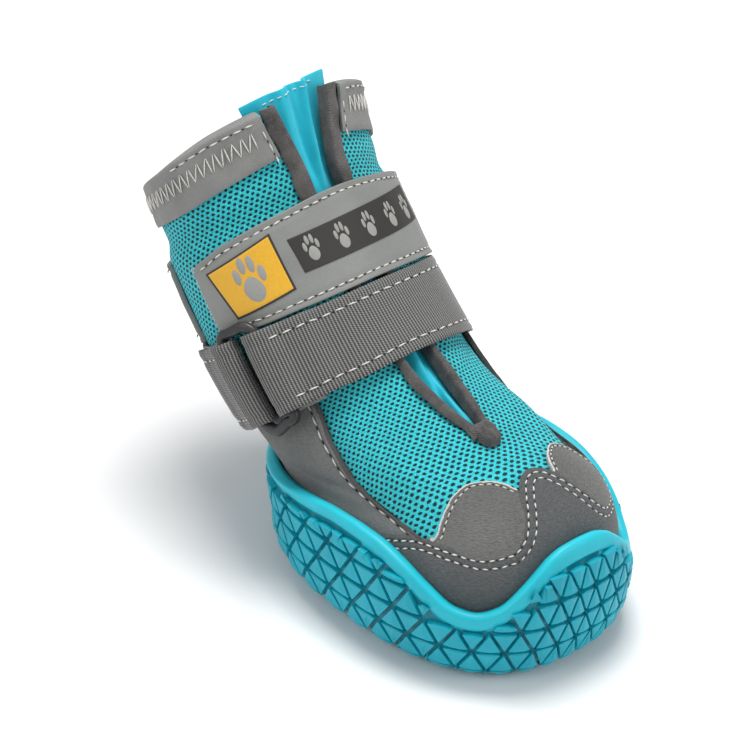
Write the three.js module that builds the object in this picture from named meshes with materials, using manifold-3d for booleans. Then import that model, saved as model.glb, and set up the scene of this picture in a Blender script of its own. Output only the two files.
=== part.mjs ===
import * as THREE from "three";
import Module from "manifold-3d";

// Dog boot. Millimetres, +Z up, the toe points towards -Y, the heel towards +Y. The sole stands on Z = 0.

// Driving sizes of the boot.
const footLength = 73.2;
const footWidth = 60.0;
const bootHeight = 96.0;
const wall = 2.0;
const gap = 0.3;
const coverThickness = 1.0;
const webbingThickness = 1.2;
const barRadius = 1.2;
const barSlack = 0.5;
const gussetThickness = 1.0;

// Rubber cup.
const lugHeight = 1.6;
const baseThickness = 3.4;
const cupWall = 2.4;
const rimBand = 3.2;
const rimBulge = 0.6;
const edgeInset = 6.5;
const edgeHeight = 10.0;
const lugPitch = 6.3;
const lugShare = 0.78;

// Levels that follow from the sizes above.
const floorLevel = lugHeight + baseThickness;
const upperFoot = floorLevel + gap;
const ledgeLevel = 10.2;
const coverIn = gap;
const coverOut = gap + coverThickness;
const cupIn = coverOut + gap;
const cupOut = cupIn + cupWall;
const insoleThickness = 2.0;

// Straps over the covers.
const strapIn = coverOut + gap;
const bandThickness = 1.4;
const barCentre = strapIn + webbingThickness + barSlack + barRadius;

// Sections of the upper from the floor of the cup to the collar. Each section lies in a sloping plane
// through its front and back points. Lengths are shares of footLength, heights shares of bootHeight,
// widths and sag shares of footWidth.
const sections = {
  frontY: [-0.500, -0.508, -0.500, -0.451, -0.321, -0.123, 0.102, 0.301, 0.478, 0.628, 0.724, 0.779],
  frontZ: [0.047, 0.146, 0.260, 0.354, 0.410, 0.4375, 0.490, 0.578, 0.6875, 0.807, 0.917, 1.000],
  backY: [0.500, 0.514, 0.541, 0.594, 0.663, 0.745, 0.827, 0.915, 1.004, 1.093, 1.168, 1.216],
  backZ: [0.047, 0.115, 0.177, 0.234, 0.286, 0.339, 0.385, 0.4375, 0.500, 0.568, 0.641, 0.703],
  halfWidth: [0.450, 0.460, 0.458, 0.444, 0.430, 0.430, 0.437, 0.443, 0.443, 0.443, 0.447, 0.455],
  squareness: [2.5, 2.5, 2.5, 2.4, 2.3, 2.2, 2.1, 2.1, 2.1, 2.1, 2.1, 2.1],
  sag: [0, 0, 0.008, 0.042, 0.100, 0.117, 0.092, 0.058, 0.030, 0.013, 0.005, 0],
};

// Edges of the pieces on the upper. around = share of the half girth from the toe centre line (0) to the
// heel centre line (1), the other columns = share of the way up the sections.
const rimEdge = {
  around: [0, 0.035, 0.067, 0.095, 0.133, 0.170, 0.210, 0.250, 0.295, 0.345, 0.395, 0.455, 0.530, 0.700, 1],
  up: [0.238, 0.236, 0.226, 0.206, 0.172, 0.142, 0.130, 0.138, 0.170, 0.215, 0.256, 0.284, 0.300, 0.296, 0.280],
};
const capEdge = {
  around: [0, 0.030, 0.055, 0.078, 0.105, 0.135, 0.185, 0.245, 0.315, 0.380, 0.440],
  up: [0.382, 0.374, 0.352, 0.318, 0.278, 0.257, 0.252, 0.268, 0.286, 0.272, 0.250],
};
const petalEdge = {
  around: [0.052, 0.065, 0.090, 0.125, 0.165, 0.205, 0.240, 0.262, 0.282],
  up: [0.362, 0.378, 0.393, 0.399, 0.388, 0.363, 0.328, 0.298, 0.281],
};
const collarEdge = {
  around: [0, 0.150, 0.300, 0.420, 0.525, 0.700, 1],
  up: [1.000, 1.000, 0.993, 0.977, 0.962, 0.952, 0.950],
};
const collarBandEdge = {
  around: [0, 0.250, 0.475, 0.700, 1],
  up: [0.905, 0.890, 0.868, 0.858, 0.855],
};
const bandEdges = {
  around: [0, 0.200, 0.350, 0.470, 0.700, 1],
  low: [0.698, 0.695, 0.687, 0.680, 0.638, 0.613],
  high: [0.826, 0.818, 0.806, 0.788, 0.790, 0.800],
};
const webbingEdges = {
  around: [0, 0.200, 0.350, 0.430, 0.700, 1],
  low: [0.594, 0.586, 0.567, 0.552, 0.480, 0.440],
  high: [0.694, 0.691, 0.683, 0.676, 0.634, 0.609],
};

// Side panel: front edge against the mesh and top edge under the straps, going round to the heel seam.
const panelFront = {
  up: [0, 0.275, 0.321, 0.417, 0.504, 0.567, 0.640],
  around: [0.300, 0.300, 0.325, 0.350, 0.333, 0.308, 0.300],
};
const panelTop = {
  around: [0.300, 0.450, 0.520, 0.600, 0.700, 0.850, 1],
  up: [0.640, 0.640, 0.600, 0.520, 0.460, 0.420, 0.410],
};

// Front slit: half width of the open throat between the two pipings, in millimetres.
const slit = {
  up: [0.470, 0.493, 0.528, 0.592, 0.700, 0.840, 0.920, 1.000, 1.080],
  half: [0.9, 1.7, 2.7, 3.6, 3.5, 3.7, 5.2, 7.0, 8.4],
};
const slitTip = 0.470;
const pipingWidth = 2.6;
const gussetReach = 6.0;
const gussetStand = 0.036;
const tipHalf = 2.9;

// Places of the ring bars and of the strap ends, as shares of the half girth on the ring's side.
const ringBarStrap = -0.362;
const ringBarLoop = -0.458;
const bandEnd = -0.470;
const bandTail = 1.375;
const webbingTail = 1.370;
const webbingUnder = -0.270;
const loopTail = -0.612;
const tapeNear = -0.300;
const tapeFar = -0.500;

const wasm = await Module();
wasm.setup();

// Value of a column at place x, straight lines between the named places, softened where asked.
function along(places, values, x) {
  const last = places.length - 1;
  if (x <= places[0]) {
    return values[0];
  }
  if (x >= places[last]) {
    return values[last];
  }
  let i = 0;
  while (x > places[i + 1]) {
    i += 1;
  }
  const slope = (k) => {
    if (k <= 0 || k >= last) {
      return 0;
    }
    const before = (values[k] - values[k - 1]) / (places[k] - places[k - 1]);
    const after = (values[k + 1] - values[k]) / (places[k + 1] - places[k]);
    return before * after <= 0 ? 0 : 2 * before * after / (before + after);
  };
  const span = places[i + 1] - places[i];
  const f = (x - places[i]) / span;
  const m0 = slope(i) * span;
  const m1 = slope(i + 1) * span;
  const a = values[i];
  const b = values[i + 1];
  return a + f * (m0 + f * (3 * (b - a) - 2 * m0 - m1 + f * (2 * (a - b) + m0 + m1)));
}

// Smooth curve through equally spaced rows, going straight on past the last row.
function throughRows(column, v) {
  const n = column.length - 1;
  if (v > 1) {
    return column[n] + (column[n] - column[n - 1]) * (v - 1) * n;
  }
  const t = Math.max(v, 0) * n;
  const i = Math.min(Math.floor(t), n - 1);
  const f = t - i;
  const p1 = column[i];
  const p2 = column[i + 1];
  const p0 = i > 0 ? column[i - 1] : 2 * p1 - p2;
  const p3 = i < n - 1 ? column[i + 2] : 2 * p2 - p1;
  return 0.5 * (2 * p1 + (p2 - p0) * f + (2 * p0 - 5 * p1 + 4 * p2 - p3) * f * f
    + (3 * p1 - p0 - 3 * p2 + p3) * f * f * f);
}

const sectionSteps = 72;
const sectionStore = new Map();

// Half of one section, front to back, with the distance walked along it.
function halfSection(v) {
  const key = v.toFixed(5);
  if (sectionStore.has(key)) {
    return sectionStore.get(key);
  }
  const fy = throughRows(sections.frontY, v) * footLength;
  const fz = throughRows(sections.frontZ, v) * bootHeight;
  const by = throughRows(sections.backY, v) * footLength;
  const bz = throughRows(sections.backZ, v) * bootHeight;
  const half = throughRows(sections.halfWidth, v) * footWidth;
  const power = 2 / throughRows(sections.squareness, v);
  const sag = throughRows(sections.sag, v) * footWidth;
  const points = [];
  const walked = [0];
  for (let i = 0; i <= sectionSteps; i += 1) {
    const angle = Math.PI * i / sectionSteps;
    const c = Math.cos(angle);
    const l = -Math.sign(c) * Math.abs(c) ** power;
    const x = half * Math.abs(Math.sin(angle)) ** power;
    const y = (fy + by) / 2 + l * (by - fy) / 2;
    const z = (fz + bz) / 2 + l * (bz - fz) / 2 - sag * (x / half) ** 2;
    points.push([x, y, z]);
    if (i > 0) {
      const q = points[i - 1];
      walked.push(walked[i - 1] + Math.hypot(x - q[0], y - q[1], z - q[2]));
    }
  }
  const result = { points, walked, girth: walked[sectionSteps] };
  sectionStore.set(key, result);
  return result;
}

function halfGirth(v) {
  return halfSection(v).girth;
}

// Point of the upper's outer face: u runs -1..1 round the girth (0 toe, negative side -X), v up.
function face(u, v) {
  let w = ((u + 1) % 2 + 2) % 2 - 1;
  const side = w < 0 ? -1 : 1;
  w = Math.abs(w);
  const s = halfSection(v);
  const d = w * s.girth;
  let lo = 0;
  let hi = sectionSteps;
  while (hi - lo > 1) {
    const mid = (lo + hi) >> 1;
    if (s.walked[mid] <= d) {
      lo = mid;
    } else {
      hi = mid;
    }
  }
  const f = (d - s.walked[lo]) / (s.walked[hi] - s.walked[lo]);
  const a = s.points[lo];
  const b = s.points[hi];
  return [side * (a[0] + (b[0] - a[0]) * f), a[1] + (b[1] - a[1]) * f, a[2] + (b[2] - a[2]) * f];
}

function minus(a, b) {
  return [a[0] - b[0], a[1] - b[1], a[2] - b[2]];
}

function cross(a, b) {
  return [a[1] * b[2] - a[2] * b[1], a[2] * b[0] - a[0] * b[2], a[0] * b[1] - a[1] * b[0]];
}

function unit(a) {
  const l = Math.hypot(a[0], a[1], a[2]) || 1;
  return [a[0] / l, a[1] / l, a[2] / l];
}

function faceNormal(u, v) {
  const du = minus(face(u + 0.012, v), face(u - 0.012, v));
  const low = Math.max(v - 0.008, 0);
  const dv = minus(face(u, v + 0.008), face(u, low));
  return unit(cross(du, dv));
}

// Point at a distance off the face, measured along its normal.
function at(u, v, off) {
  const p = face(u, v);
  const n = faceNormal(u, v);
  return [p[0] + n[0] * off, p[1] + n[1] * off, p[2] + n[2] * off];
}

// Millimetres along the shaft for one whole unit of v at a place.
function climb(u, v) {
  const d = minus(face(u, v + 0.01), face(u, v - 0.01));
  return Math.hypot(d[0], d[1], d[2]) / 0.02;
}

// Share of the way up that a length in millimetres takes at a place.
function rise(length, u, v) {
  return length / climb(u, v);
}

// Share of the way up at which the face reaches a height.
function upAtHeight(u, z) {
  let lo = 0;
  let hi = 0.3;
  for (let i = 0; i < 30; i += 1) {
    const mid = (lo + hi) / 2;
    if (face(u, mid)[2] < z) {
      lo = mid;
    } else {
      hi = mid;
    }
  }
  return (lo + hi) / 2;
}

function signedVolume(points, triangles) {
  let sum = 0;
  for (const t of triangles) {
    const a = points[t[0]];
    const b = points[t[1]];
    const c = points[t[2]];
    const n = cross(b, c);
    sum += a[0] * n[0] + a[1] * n[1] + a[2] * n[2];
  }
  return sum / 6;
}

// Closed body from points and triangles, faces turned outwards.
function closedBody(points, triangles) {
  const out = signedVolume(points, triangles) >= 0;
  const flat = out ? triangles : triangles.map((t) => [t[0], t[2], t[1]]);
  return { points, triangles: flat };
}

function toManifold(body) {
  const mesh = new wasm.Mesh({
    numProp: 3,
    vertProperties: new Float32Array(body.points.flat()),
    triVerts: new Uint32Array(body.triangles.flat()),
  });
  return new wasm.Manifold(mesh);
}

function fromManifold(solid) {
  const mesh = solid.getMesh();
  const points = [];
  const triangles = [];
  for (let i = 0; i < mesh.vertProperties.length; i += mesh.numProp) {
    points.push([mesh.vertProperties[i], mesh.vertProperties[i + 1], mesh.vertProperties[i + 2]]);
  }
  for (let i = 0; i < mesh.triVerts.length; i += 3) {
    triangles.push([mesh.triVerts[i], mesh.triVerts[i + 1], mesh.triVerts[i + 2]]);
  }
  return { points, triangles };
}

// Rings of equal count joined one to the next. closed: the last ring joins the first. Otherwise each end
// is capped with the triangles given for one ring.
function loft(rings, closed, capTriangles) {
  const n = rings[0].length;
  const points = rings.flat();
  const triangles = [];
  const last = closed ? rings.length : rings.length - 1;
  for (let k = 0; k < last; k += 1) {
    const a = k * n;
    const b = ((k + 1) % rings.length) * n;
    for (let i = 0; i < n; i += 1) {
      const j = (i + 1) % n;
      triangles.push([a + i, a + j, b + j]);
      triangles.push([a + i, b + j, b + i]);
    }
  }
  if (!closed) {
    const top = (rings.length - 1) * n;
    for (const t of capTriangles) {
      triangles.push([t[0], t[2], t[1]]);
      triangles.push([top + t[0], top + t[1], top + t[2]]);
    }
  }
  return closedBody(points, triangles);
}

// Sheet laid on the face: place(a, b) gives [u, v] for a and b from 0 to 1.
function sheet(place, offIn, offOut, across, upward) {
  const rings = [];
  const offI = typeof offIn === "function" ? offIn : () => offIn;
  const offO = typeof offOut === "function" ? offOut : () => offOut;
  for (let i = 0; i <= across; i += 1) {
    const inner = [];
    const outer = [];
    for (let j = 0; j <= upward; j += 1) {
      const [u, v] = place(i / across, j / upward);
      inner.push(at(u, v, offI(u, v)));
      outer.push(at(u, v, offO(u, v)));
    }
    rings.push([...outer, ...inner.reverse()]);
  }
  const cap = [];
  const n = 2 * (upward + 1);
  for (let j = 0; j < upward; j += 1) {
    cap.push([j, j + 1, n - 2 - j]);
    cap.push([j, n - 2 - j, n - 1 - j]);
  }
  return loft(rings, false, cap);
}

// Strap laid along a path of stations; each station holds the outer and the inner [u, off], and the strap
// runs across from its low edge to its high edge.
function strap(stations, edges, steps) {
  const rings = [];
  for (const s of stations) {
    const outer = [];
    const inner = [];
    for (let j = 0; j <= steps; j += 1) {
      const place = (u) => {
        const w = Math.abs(((u + 1) % 2 + 2) % 2 - 1);
        const low = along(edges.around, edges.low, w);
        const high = along(edges.around, edges.high, w);
        return low + (high - low) * j / steps;
      };
      outer.push(at(s.outer[0], place(s.outer[0]), s.outer[1]));
      inner.push(at(s.inner[0], place(s.inner[0]), s.inner[1]));
    }
    rings.push([...outer, ...inner.reverse()]);
  }
  const cap = [];
  const n = 2 * (steps + 1);
  for (let j = 0; j < steps; j += 1) {
    cap.push([j, j + 1, n - 2 - j]);
    cap.push([j, n - 2 - j, n - 1 - j]);
  }
  return loft(rings, false, cap);
}

// Stations of a strap folded round a bar. side is +1 when the strap leaves the bar towards larger u.
function foldStations(bar, side, topPath, underEnd) {
  const reach = barRadius + barSlack;
  const girth = halfGirth(0.62);
  const stations = [];
  for (const p of topPath) {
    stations.push({ outer: [p[0], p[1] + webbingThickness], inner: [p[0], p[1]] });
  }
  const turns = 8;
  for (let i = 0; i <= turns; i += 1) {
    const angle = Math.PI / 2 + Math.PI * i / turns;
    const c = Math.cos(angle) * side / girth;
    const s = Math.sin(angle);
    const far = reach + webbingThickness;
    stations.push({ outer: [bar + c * far, barCentre + s * far], inner: [bar + c * reach, barCentre + s * reach] });
  }
  const low = barCentre - reach;
  const steps = Math.ceil(Math.abs(underEnd - bar) / 0.026);
  for (let i = 1; i <= steps; i += 1) {
    const u = bar + (underEnd - bar) * i / steps;
    stations.push({ outer: [u, low - webbingThickness], inner: [u, low] });
  }
  return stations;
}

const group = new THREE.Group();
group.name = "dog_boot";

function colour(hex) {
  return new THREE.MeshStandardMaterial({ color: hex, side: THREE.DoubleSide });
}

const tones = {
  rubber: colour(0x1c9db2),
  mesh: colour(0x2bc4ce),
  cap: colour(0x626464),
  petal: colour(0x85837c),
  cover: colour(0x7d7c79),
  strap: colour(0x8b8987),
  ring: colour(0x46474a),
  satin: colour(0x22c3dc),
  tape: colour(0xe8e6e0),
  piping: colour(0x6b6562),
  lining: colour(0x3c3e42),
};

function place(name, body, material, parent) {
  const geometry = new THREE.BufferGeometry();
  geometry.setAttribute("position", new THREE.Float32BufferAttribute(body.points.flat(), 3));
  geometry.setIndex(body.triangles.flat());
  geometry.computeVertexNormals();
  const mesh = new THREE.Mesh(geometry, material);
  mesh.name = name;
  (parent || group).add(mesh);
  return mesh;
}

// Outsole: one rubber cup. Rings run from the middle of the underside out, up the wall, over the rim and
// down inside to the middle of the floor.
const columns = 56;
function cupOuter(u, share) {
  const rim = along(rimEdge.around, rimEdge.up, Math.abs(u));
  const start = upAtHeight(u, edgeHeight);
  const top = rim - rimBand / climb(u, rim);
  return at(u, start + (top - start) * share, cupOut);
}
function cupRound(u, turn) {
  const p = at(u, upAtHeight(u, edgeHeight), cupOut - edgeInset * (1 - Math.sin(turn)));
  return [p[0], p[1], lugHeight + (edgeHeight - lugHeight) * (1 - Math.cos(turn))];
}
function outsole() {
  const rings = [];
  const ring = (f) => {
    const points = [];
    for (let i = 0; i < columns; i += 1) {
      points.push(f(-1 + 2 * (i + 0.5) / columns));
    }
    rings.push(points);
  };
  const rim = (u) => along(rimEdge.around, rimEdge.up, Math.abs(u));
  const middle = (z) => [0, 0, z];
  ring((u) => {
    const p = cupRound(u, 0);
    return [p[0] * 0.45, p[1] * 0.45, lugHeight];
  });
  for (const turn of [0, 0.42, 0.84, 1.22, 1.5708]) {
    ring((u) => cupRound(u, turn));
  }
  ring((u) => cupOuter(u, 0.5));
  ring((u) => cupOuter(u, 1));
  ring((u) => at(u, rim(u) - (rimBand - 0.5) / climb(u, rim(u)), cupOut + rimBulge));
  ring((u) => at(u, rim(u) - 0.5 / climb(u, rim(u)), cupOut + rimBulge));
  ring((u) => at(u, rim(u), cupOut));
  ring((u) => at(u, rim(u), cupIn));
  for (const share of [0.83, 0.66, 0.50, 0.33, 0.16]) {
    ring((u) => {
      const low = upAtHeight(u, ledgeLevel);
      return at(u, low + (rim(u) - low) * share, cupIn);
    });
  }
  ring((u) => {
    const p = at(u, upAtHeight(u, ledgeLevel), cupIn);
    return [p[0], p[1], floorLevel];
  });
  ring((u) => {
    const p = at(u, upAtHeight(u, ledgeLevel), cupIn);
    return [p[0] * 0.45, p[1] * 0.45, floorLevel];
  });
  const n = columns;
  const body = { points: rings.flat(), triangles: [] };
  for (let k = 0; k < rings.length - 1; k += 1) {
    for (let i = 0; i < n; i += 1) {
      const j = (i + 1) % n;
      body.triangles.push([k * n + i, k * n + j, (k + 1) * n + j]);
      body.triangles.push([k * n + i, (k + 1) * n + j, (k + 1) * n + i]);
    }
  }
  const under = body.points.length;
  body.points.push(middle(lugHeight));
  body.points.push(middle(floorLevel));
  const lastRing = (rings.length - 1) * n;
  for (let i = 0; i < n; i += 1) {
    const j = (i + 1) % n;
    body.triangles.push([under, j, i]);
    body.triangles.push([under + 1, lastRing + i, lastRing + j]);
  }
  return closedBody(body.points, body.triangles);
}

function lug(outer, inner) {
  return closedBody([...outer, ...inner], [[0, 1, 2], [3, 5, 4], [0, 3, 4], [0, 4, 1], [1, 4, 5], [1, 5, 2],
    [2, 5, 3], [2, 3, 0]]);
}

// Ground lugs: triangles on a lattice with one groove family running toe to heel.
function groundLugs() {
  const lugs = [];
  const edge = [];
  for (let i = 0; i < 90; i += 1) {
    edge.push(cupRound(-1 + 2 * i / 90, 0.1));
  }
  const inside = (x, y) => {
    let hit = false;
    for (let i = 0, j = edge.length - 1; i < edge.length; j = i, i += 1) {
      const a = edge[i];
      const b = edge[j];
      if ((a[1] > y) !== (b[1] > y) && x < (b[0] - a[0]) * (y - a[1]) / (b[1] - a[1]) + a[0]) {
        hit = !hit;
      }
    }
    return hit;
  };
  const across = lugPitch * Math.sqrt(3) / 2;
  for (let i = -8; i < 8; i += 1) {
    for (let j = -12; j < 12; j += 1) {
      const x0 = (i - 1 / 3) * across;
      const y0 = (j - 1 / 2 + (i & 1) / 2) * lugPitch;
      const pairs = [
        [[x0, y0], [x0 + across, y0 + lugPitch / 2], [x0, y0 + lugPitch]],
        [[x0 + across, y0 - lugPitch / 2], [x0 + across, y0 + lugPitch / 2], [x0, y0]],
      ];
      for (const corners of pairs) {
        if (corners.every((c) => inside(c[0], c[1]))) {
          const cx = (corners[0][0] + corners[1][0] + corners[2][0]) / 3;
          const cy = (corners[0][1] + corners[1][1] + corners[2][1]) / 3;
          const shrink = (share, z) => corners.map((c) => [cx + (c[0] - cx) * share, cy + (c[1] - cy) * share, z]);
          lugs.push(lug(shrink(lugShare, 0), shrink(lugShare + 0.08, lugHeight + 0.4)));
        }
      }
    }
  }
  return lugs;
}

// Wall lugs: rows of triangles that climb from the rounded edge up the wall, as many rows as the rim leaves
// room for.
const lugRow = 5.8;
const lugTall = 5.0;
const roundLength = 11.6;
function wallLugs() {
  const lugs = [];
  const perRow = 34;
  const spot = (u, walked) => {
    if (walked < roundLength) {
      return cupRound(u, walked / roundLength * Math.PI / 2);
    }
    const start = upAtHeight(u, edgeHeight);
    return at(u, start + rise(walked - roundLength, u, start), cupOut);
  };
  const raised = (u, walked, off) => {
    const p = spot(u, walked);
    const n = unit(cross(minus(spot(u + 0.01, walked), p), minus(spot(u, walked + 0.5), p)));
    return [p[0] + n[0] * off, p[1] + n[1] * off, p[2] + n[2] * off];
  };
  for (let k = 0; k < 6; k += 1) {
    const low = 0.9 + k * lugRow;
    for (let i = 0; i < perRow; i += 1) {
      const u = -1 + 2 * (i + (k % 2) / 2) / perRow;
      const w = Math.abs(((u + 1) % 2 + 2) % 2 - 1);
      const rim = along(rimEdge.around, rimEdge.up, w);
      const start = upAtHeight(u, edgeHeight);
      const room = roundLength + (rim - start) * climb(u, start) - rimBand - 0.6;
      if (low + lugTall > room) {
        continue;
      }
      const half = lugShare / perRow;
      const corner = (off, grow) => [
        raised(u - half * grow, low, off),
        raised(u + half * grow, low, off),
        raised(u, low + lugTall, off),
      ];
      lugs.push(lug(corner(lugHeight * 0.7, 0.86), corner(-0.7, 1)));
    }
  }
  return lugs;
}

let rubber = toManifold(outsole());
for (const piece of [...groundLugs(), ...wallLugs()]) {
  rubber = rubber.add(toManifold(piece));
}
place("outsole", fromManifold(rubber), tones.rubber);

// Upper: one hollow body of mesh, open at the collar and underneath, with the throat slit cut through it.
// Below the ledge the wall is thicker, so the covers end on the ledge inside the cup.
function upperBody() {
  const outerRows = [];
  const innerRows = [];
  const rows = [
    { level: upperFoot, off: coverOut },
    { level: ledgeLevel, off: coverOut },
    { level: ledgeLevel + 0.02, off: 0 },
  ];
  for (const r of rows) {
    outerRows.push((u) => {
      const p = at(u, upAtHeight(u, r.level), r.off);
      return [p[0], p[1], r.level + (r.off === 0 ? 0.03 : 0)];
    });
    innerRows.push((u) => {
      const p = at(u, upAtHeight(u, r.level), -wall);
      return [p[0], p[1], r.level];
    });
  }
  const shares = [0.08, 0.13, 0.18, 0.22, 0.26, 0.30, 0.345, 0.39, 0.44, 0.49, 0.54, 0.60, 0.66, 0.73, 0.80, 0.87,
    0.94, 1];
  for (const share of shares) {
    const v = (u) => {
      const low = upAtHeight(u, ledgeLevel);
      const high = along(collarEdge.around, collarEdge.up, Math.abs(u));
      return low + (high - low) * share;
    };
    outerRows.push((u) => at(u, v(u), 0));
    innerRows.push((u) => at(u, v(u), -wall));
  }
  innerRows.splice(1, 1);
  const rings = [];
  for (const f of [...outerRows, ...innerRows.reverse()]) {
    const ring = [];
    for (let i = 0; i < columns; i += 1) {
      ring.push(f(-1 + 2 * (i + 0.5) / columns));
    }
    rings.push(ring);
  }
  return loft(rings, true, []);
}

const pipingEdge = (v) => along(slit.up, slit.half, v);
const flapEdge = (v) => pipingEdge(v) + coverThickness + gap;
function slitCutter() {
  const low = slitTip - 0.012;
  return sheet((a, b) => {
    const v = low + (1.07 - low) * b;
    return [(2 * a - 1) * flapEdge(v) / halfGirth(v), v];
  }, -wall - 2.2, 3, 6, 30);
}
const upper = toManifold(upperBody()).subtract(toManifold(slitCutter()));
place("upper", fromManifold(upper), tones.mesh);

// Gusset: satin tongue behind the slit, standing a little above the collar.
const gussetFoot = slitTip - 0.05;
const gussetDeep = (v) => {
  const under = along([0.80, 0.88], [0, 1], v);
  return -wall - gap - under * (coverThickness + gap);
};
const gusset = sheet((a, b) => {
  const v = gussetFoot + (1 + gussetStand - gussetFoot) * b;
  const half = flapEdge(v) + gussetReach;
  return [(2 * a - 1) * half / halfGirth(v), v];
}, (u, v) => gussetDeep(v) - gussetThickness, (u, v) => gussetDeep(v), 10, 16);
place("gusset", gusset, tones.satin);

// Insole: flat board inside the foot of the upper.
function insole() {
  const rings = [];
  for (const z of [upperFoot, upperFoot + insoleThickness]) {
    const ring = [];
    for (let i = 0; i < columns; i += 1) {
      const p = at(-1 + 2 * (i + 0.5) / columns, upAtHeight(0, ledgeLevel), -wall - 2 * gap);
      ring.push([p[0], p[1], z]);
    }
    rings.push(ring);
  }
  const cap = [];
  const n = columns;
  for (let i = 0; i < n / 2 - 1; i += 1) {
    cap.push([i, i + 1, n - 1 - i]);
    cap.push([i + 1, n - 2 - i, n - 1 - i]);
  }
  return loft(rings, false, cap.filter((t) => new Set(t).size === 3));
}
place("insole", insole(), tones.lining);

// Toe cap: one sheet round the toe. Its hem waves: high in the middle, low under each petal. Its foot goes
// down inside the rubber rim.
const capReach = capEdge.around[capEdge.around.length - 1];
const coverFoot = (u) => {
  const rim = along(rimEdge.around, rimEdge.up, Math.abs(u));
  return Math.max(rim - 0.045, upAtHeight(u, ledgeLevel + gap));
};
const capTop = (u) => along(capEdge.around, capEdge.up, Math.abs(u));
const toeCap = sheet((a, b) => {
  const u = (2 * a - 1) * capReach;
  const low = Math.min(coverFoot(u), capTop(u) - 0.012);
  return [u, low + (capTop(u) - low) * b];
}, coverIn, coverOut, 40, 7);
place("toe_cap", toeCap, tones.cap);

// Petals: a rounded tab on each side, standing in the dip of the toe cap.
const petalStart = petalEdge.around[0];
const petalReach = petalEdge.around[petalEdge.around.length - 1];
for (const [name, side] of [["petal_left", -1], ["petal_right", 1]]) {
  const petal = sheet((a, b) => {
    const w = petalStart + (petalReach - petalStart) * a;
    const low = capTop(w) + rise(gap, w, 0.3);
    const high = Math.max(along(petalEdge.around, petalEdge.up, w), low + rise(0.9, w, 0.3));
    return [side * w, low + (high - low) * b];
  }, coverIn, coverOut, 12, 4);
  place(name, petal, tones.petal);
}

// Side panels: from under the straps down behind the rubber rim, forward to the toe cap and back to the
// seam at the heel.
const panelFoot = (w) => (w < capReach ? capTop(w) + rise(gap * 1.4, w, 0.3) : along([capReach, 1], [0.248, 0.232], w));
for (const [name, side] of [["side_panel_left", -1], ["side_panel_right", 1]]) {
  const panel = sheet((a, b) => {
    const start = panelFoot(0.31);
    const front = along(panelFront.up, panelFront.around, start + (panelTop.up[0] - start) * b);
    const w = front + (0.997 - front) * a;
    const low = panelFoot(w);
    const high = along(panelTop.around, panelTop.up, w);
    return [side * w, low + (high - low) * b];
  }, coverIn, coverOut, 20, 7);
  place(name, panel, tones.cover);
}

// Piping: a folded strip round each edge of the slit.
const pipingTop = (u) => along(collarEdge.around, collarEdge.up, Math.abs(u));
for (const [name, side] of [["slit_piping_left", -1], ["slit_piping_right", 1]]) {
  const rings = [];
  const steps = 26;
  for (let k = 0; k <= steps; k += 1) {
    const top = 1 + rise(coverOut, 0.05, 0.98);
    const low = slitTip - 0.008;
    const v = low + (top - low) * k / steps;
    const girth = halfGirth(v);
    const e0 = pipingEdge(v);
    const e1 = e0 + coverThickness;
    const e3 = flapEdge(v) + pipingWidth;
    const outline = [[e3, coverOut], [e0, coverOut], [e0, -wall], [e1, -wall], [e1, coverIn], [e3, coverIn]];
    rings.push(outline.map(([s, off]) => at(side * s / girth, v, off)));
  }
  const cap = [[0, 1, 4], [0, 4, 5], [1, 2, 3], [1, 3, 4]];
  place(name, loft(rings, false, cap), tones.piping);
}

// Tip of the slit: a small tab over the two ends of the piping.
const tipTab = sheet((a, b) => {
  const v = slitTip - 0.032 + 0.040 * b;
  const half = tipHalf * Math.sqrt(1 - 0.75 * (1 - b) ** 2);
  return [(2 * a - 1) * half / halfGirth(v), v];
}, coverOut + gap, coverOut + gap + coverThickness, 6, 4);
place("slit_tip_tab", tipTab, tones.piping);

// Collar binding: folded over the top edge of the shaft from one side of the slit round to the other.
function collarBinding() {
  const rings = [];
  const steps = 42;
  for (let k = 0; k <= steps; k += 1) {
    const spot = (v, off) => {
      const start = (flapEdge(v) + pipingWidth + gap) / halfGirth(v);
      return at(start + (2 - 2 * start) * k / steps, v, off);
    };
    const w = 2 * k / steps;
    const u = Math.abs(w > 1 ? w - 2 : w);
    const edge = along(collarEdge.around, collarEdge.up, u);
    const low = along(collarBandEdge.around, collarBandEdge.up, u);
    const mid = (low + edge) / 2;
    const inside = edge - rise(3, u, edge);
    const lift = edge + rise(gap, u, edge);
    const top = edge + rise(coverOut, u, edge);
    const deep = -wall - gap;
    rings.push([
      spot(low, coverOut), spot(mid, coverOut), spot(top, coverOut), spot(top, deep - coverThickness),
      spot(inside, deep - coverThickness), spot(inside, deep), spot(lift, deep), spot(lift, coverIn),
      spot(mid, coverIn), spot(low, coverIn),
    ]);
  }
  const cap = [[0, 1, 8], [0, 8, 9], [1, 2, 7], [1, 7, 8], [2, 3, 6], [2, 6, 7], [3, 4, 5], [3, 5, 6]];
  return loft(rings, false, cap);
}
place("collar_binding", collarBinding(), tones.cover);

// Stations between two places at an even pitch.
function evenStations(from, to, pitch, inner, outer) {
  const count = Math.ceil(Math.abs(to - from) / pitch);
  const stations = [];
  for (let k = 0; k <= count; k += 1) {
    const u = from + (to - from) * k / count;
    stations.push({ outer: [u, outer], inner: [u, inner] });
  }
  return stations;
}

// Upper strap: a smooth band from its cut end across the front, round the back to the ring side.
place("strap_band", strap(evenStations(bandEnd, bandTail, 0.040, strapIn, strapIn + bandThickness), bandEdges, 3),
  tones.strap);

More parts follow.
